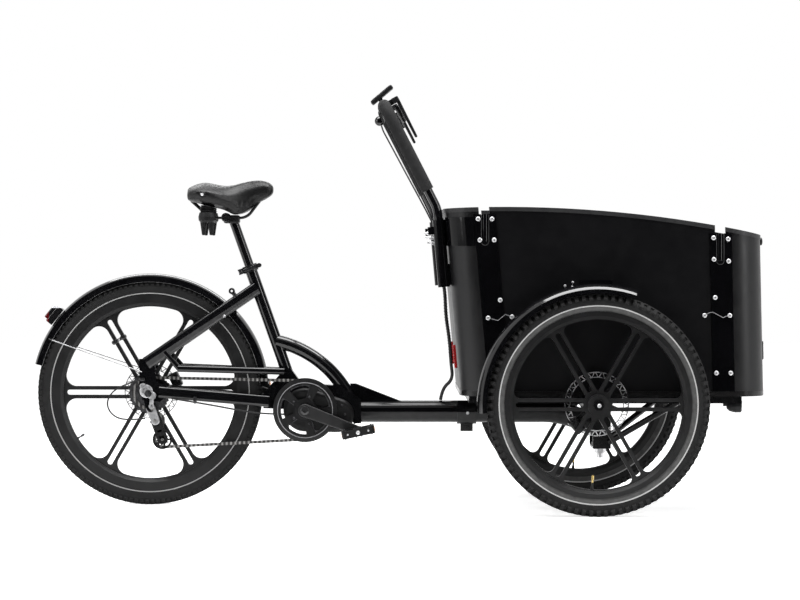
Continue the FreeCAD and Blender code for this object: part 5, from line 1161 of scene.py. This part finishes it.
def buildCageGuard(face, lower, upper, outer, wall, hub, bore, boss, thick, arms, armWide, lap, link):
    shape, half = bmesh.new(), thick / 2
    lower, upper = (Vector((x, face - half, z)) for x, z in (lower, upper))
    for start, end, centre, steps in ((outer - wall, outer, lower, 40), (bore, hub, lower, 40),
                                      (bore, boss, upper, 32)):
        addHoop(shape, start, end, half, centre, steps)
    reach = outer - wall / 2 - hub + lap
    for index in range(arms):
        place = shift(*lower) @ turnY(360 * index / arms) @ shift(hub - lap + reach / 2, 0, 0)
        addBlock(shape, (reach, thick, armWide), place)
    linkBlock(shape, lower, upper, thick, link)
    finishPiece("cageGuard", shape, ["blackPlastic"], "rear_frame")


# Cable stop at the dropout, guide boss on the seat stay, and the clip under the chain stay
stopSettings = {"stop": (-0.735, -0.0785, 0.367), "stopSize": (0.016, 0.0075, 0.009),
                "boss": Vector((-0.469, -0.040, 0.6096)), "aim": Vector((-0.59, 0.0, 0.807)),
                "clip": (-0.582, -0.072, 0.307), "clipSize": (0.01, 0.012, 0.02)}


def buildCableStops(stop, stopSize, boss, aim, clip, clipSize):
    shape = bmesh.new()
    addBlock(shape, stopSize, shift(*stop), 0.0015)
    addRod(shape, boss - aim * 0.006, boss + aim * 0.009, 0.006)
    spinAbout(shape, boss + aim * 0.015, (0, 1, 0), 20, [(0.0034, -0.007), (0.0085, -0.007), (0.0095, 0.0),
                                                         (0.0085, 0.007), (0.0034, 0.007), (0.0034, -0.007)])
    addBlock(shape, clipSize, shift(*clip), 0.002)
    finishPiece("cableStops", shape, ["anodised"], "rear_frame")


buildBolts("frameBolts", "rear_frame", ["brightSteel", "darkSteel"], frameBolts)
buildMount(**mountSettings)
buildCageGuard(**cageSettings)
buildBolts("derailleurBolts", "rear_frame", ["chainSteel"], derailleurBolts, 0.45)
buildCableStops(**stopSettings)
buildBolts("axleEnds", "front_chassis", ["brightSteel"], axleEnds)
print("frame fittings built")

# Floor and light
stageSettings = {"size": 14.0, "floorColour": (0.86, 0.86, 0.86), "glow": 0.66, "skyLight": 0.45}
lampSettings = {
    "overhead": {"at": (0.2, -0.9, 3.6), "aim": (0.1, -0.2, 0.5), "size": (4.8, 0.9), "power": 210},
    "frontStrip": {"at": (3.4, -2.2, 1.7), "aim": (0.4, 0.0, 0.6), "size": (0.5, 2.6), "power": 55},
    "rearStrip": {"at": (-3.5, -2.4, 1.8), "aim": (-0.5, 0.0, 0.6), "size": (0.4, 2.6), "power": 48},
    "crown": {"at": (0.5, 0.05, 3.2), "aim": (0.5, -0.1, 0.6), "size": (2.6, 0.9), "power": 80},
    "back": {"at": (0.0, 3.4, 3.0), "aim": (0.0, 0.0, 0.6), "size": (4.2, 0.5), "power": 50},
}
# Dark cards behind the camera and on the floor before it, seen only in gloss, keep black paint black
cardSettings = {"darkWall": {"at": (0.0, -8.8, 4.0), "size": (17.0, 8.0), "turn": 90},
                "darkFloor": {"at": (0.0, -5.2, 0.003), "size": (17.0, 7.2), "turn": 0}}
cardColour = (0.012, 0.012, 0.012)


def addLamp(name, at, aim, size, power):
    data = bpy.data.lights.new(name, "AREA")
    data.shape = "RECTANGLE"
    data.size, data.size_y = size
    data.energy = power
    lamp = addObject(name, data)
    lamp.location = at
    lamp.rotation_euler = (Vector(aim) - Vector(at)).to_track_quat("-Z", "Y").to_euler()


def whiteRays(coat):
    # one for what the camera sees, straight or in a gloss or through a glass, and nought for other light
    path = coat.tree.nodes.new("ShaderNodeLightPath").outputs
    seen = calc(coat, "ADD", path["Is Camera Ray"], path["Is Glossy Ray"])
    return calc(coat, "MINIMUM", calc(coat, "ADD", seen, path["Is Transmission Ray"]), 1.0)


def buildStage(size, floorColour, glow, skyLight):
    world.use_nodes = True
    sky = SimpleNamespace(tree=world.node_tree)
    sky.tree.nodes.clear()
    out = sky.tree.nodes.new("ShaderNodeOutputWorld")
    strength = spread(sky, whiteRays(sky), skyLight, 1.0, 0.0, 1.0)
    join(sky, addNode(sky, "Background", {"Color": (1, 1, 1), "Strength": strength}), out.inputs["Surface"])
    shape = bmesh.new()
    bmesh.ops.create_grid(shape, x_segments=1, y_segments=1, size=size)
    coat = startCoat("paleFloor")
    feed(coat, colour=floorColour, rough=0.9, specular=0.1, glowColour=(1, 1, 1),
         glow=spread(coat, whiteRays(coat), 0.0, glow, 0.0, 1.0))
    addObject("floor", toMesh("floor", shape, ["paleFloor"]))


def buildCard(name, at, size, turn):
    shape = bmesh.new()
    verts = bmesh.ops.create_grid(shape, x_segments=1, y_segments=1, size=0.5)["verts"]
    bmesh.ops.scale(shape, vec=(*size, 1), verts=verts)
    bmesh.ops.transform(shape, matrix=shift(*at) @ Matrix.Rotation(math.radians(turn), 4, "X"), verts=verts)
    card = addObject(name, toMesh(name, shape, ["cardFelt"]))
    card.visible_camera = False
    card.visible_diffuse = False
    card.visible_shadow = False


buildStage(**stageSettings)
feed(startCoat("cardFelt"), colour=cardColour, rough=1.0, specular=0.0)
for name, settings in cardSettings.items():
    buildCard(name, **settings)
for name, settings in lampSettings.items():
    addLamp(name, **settings)
print("stage lit")
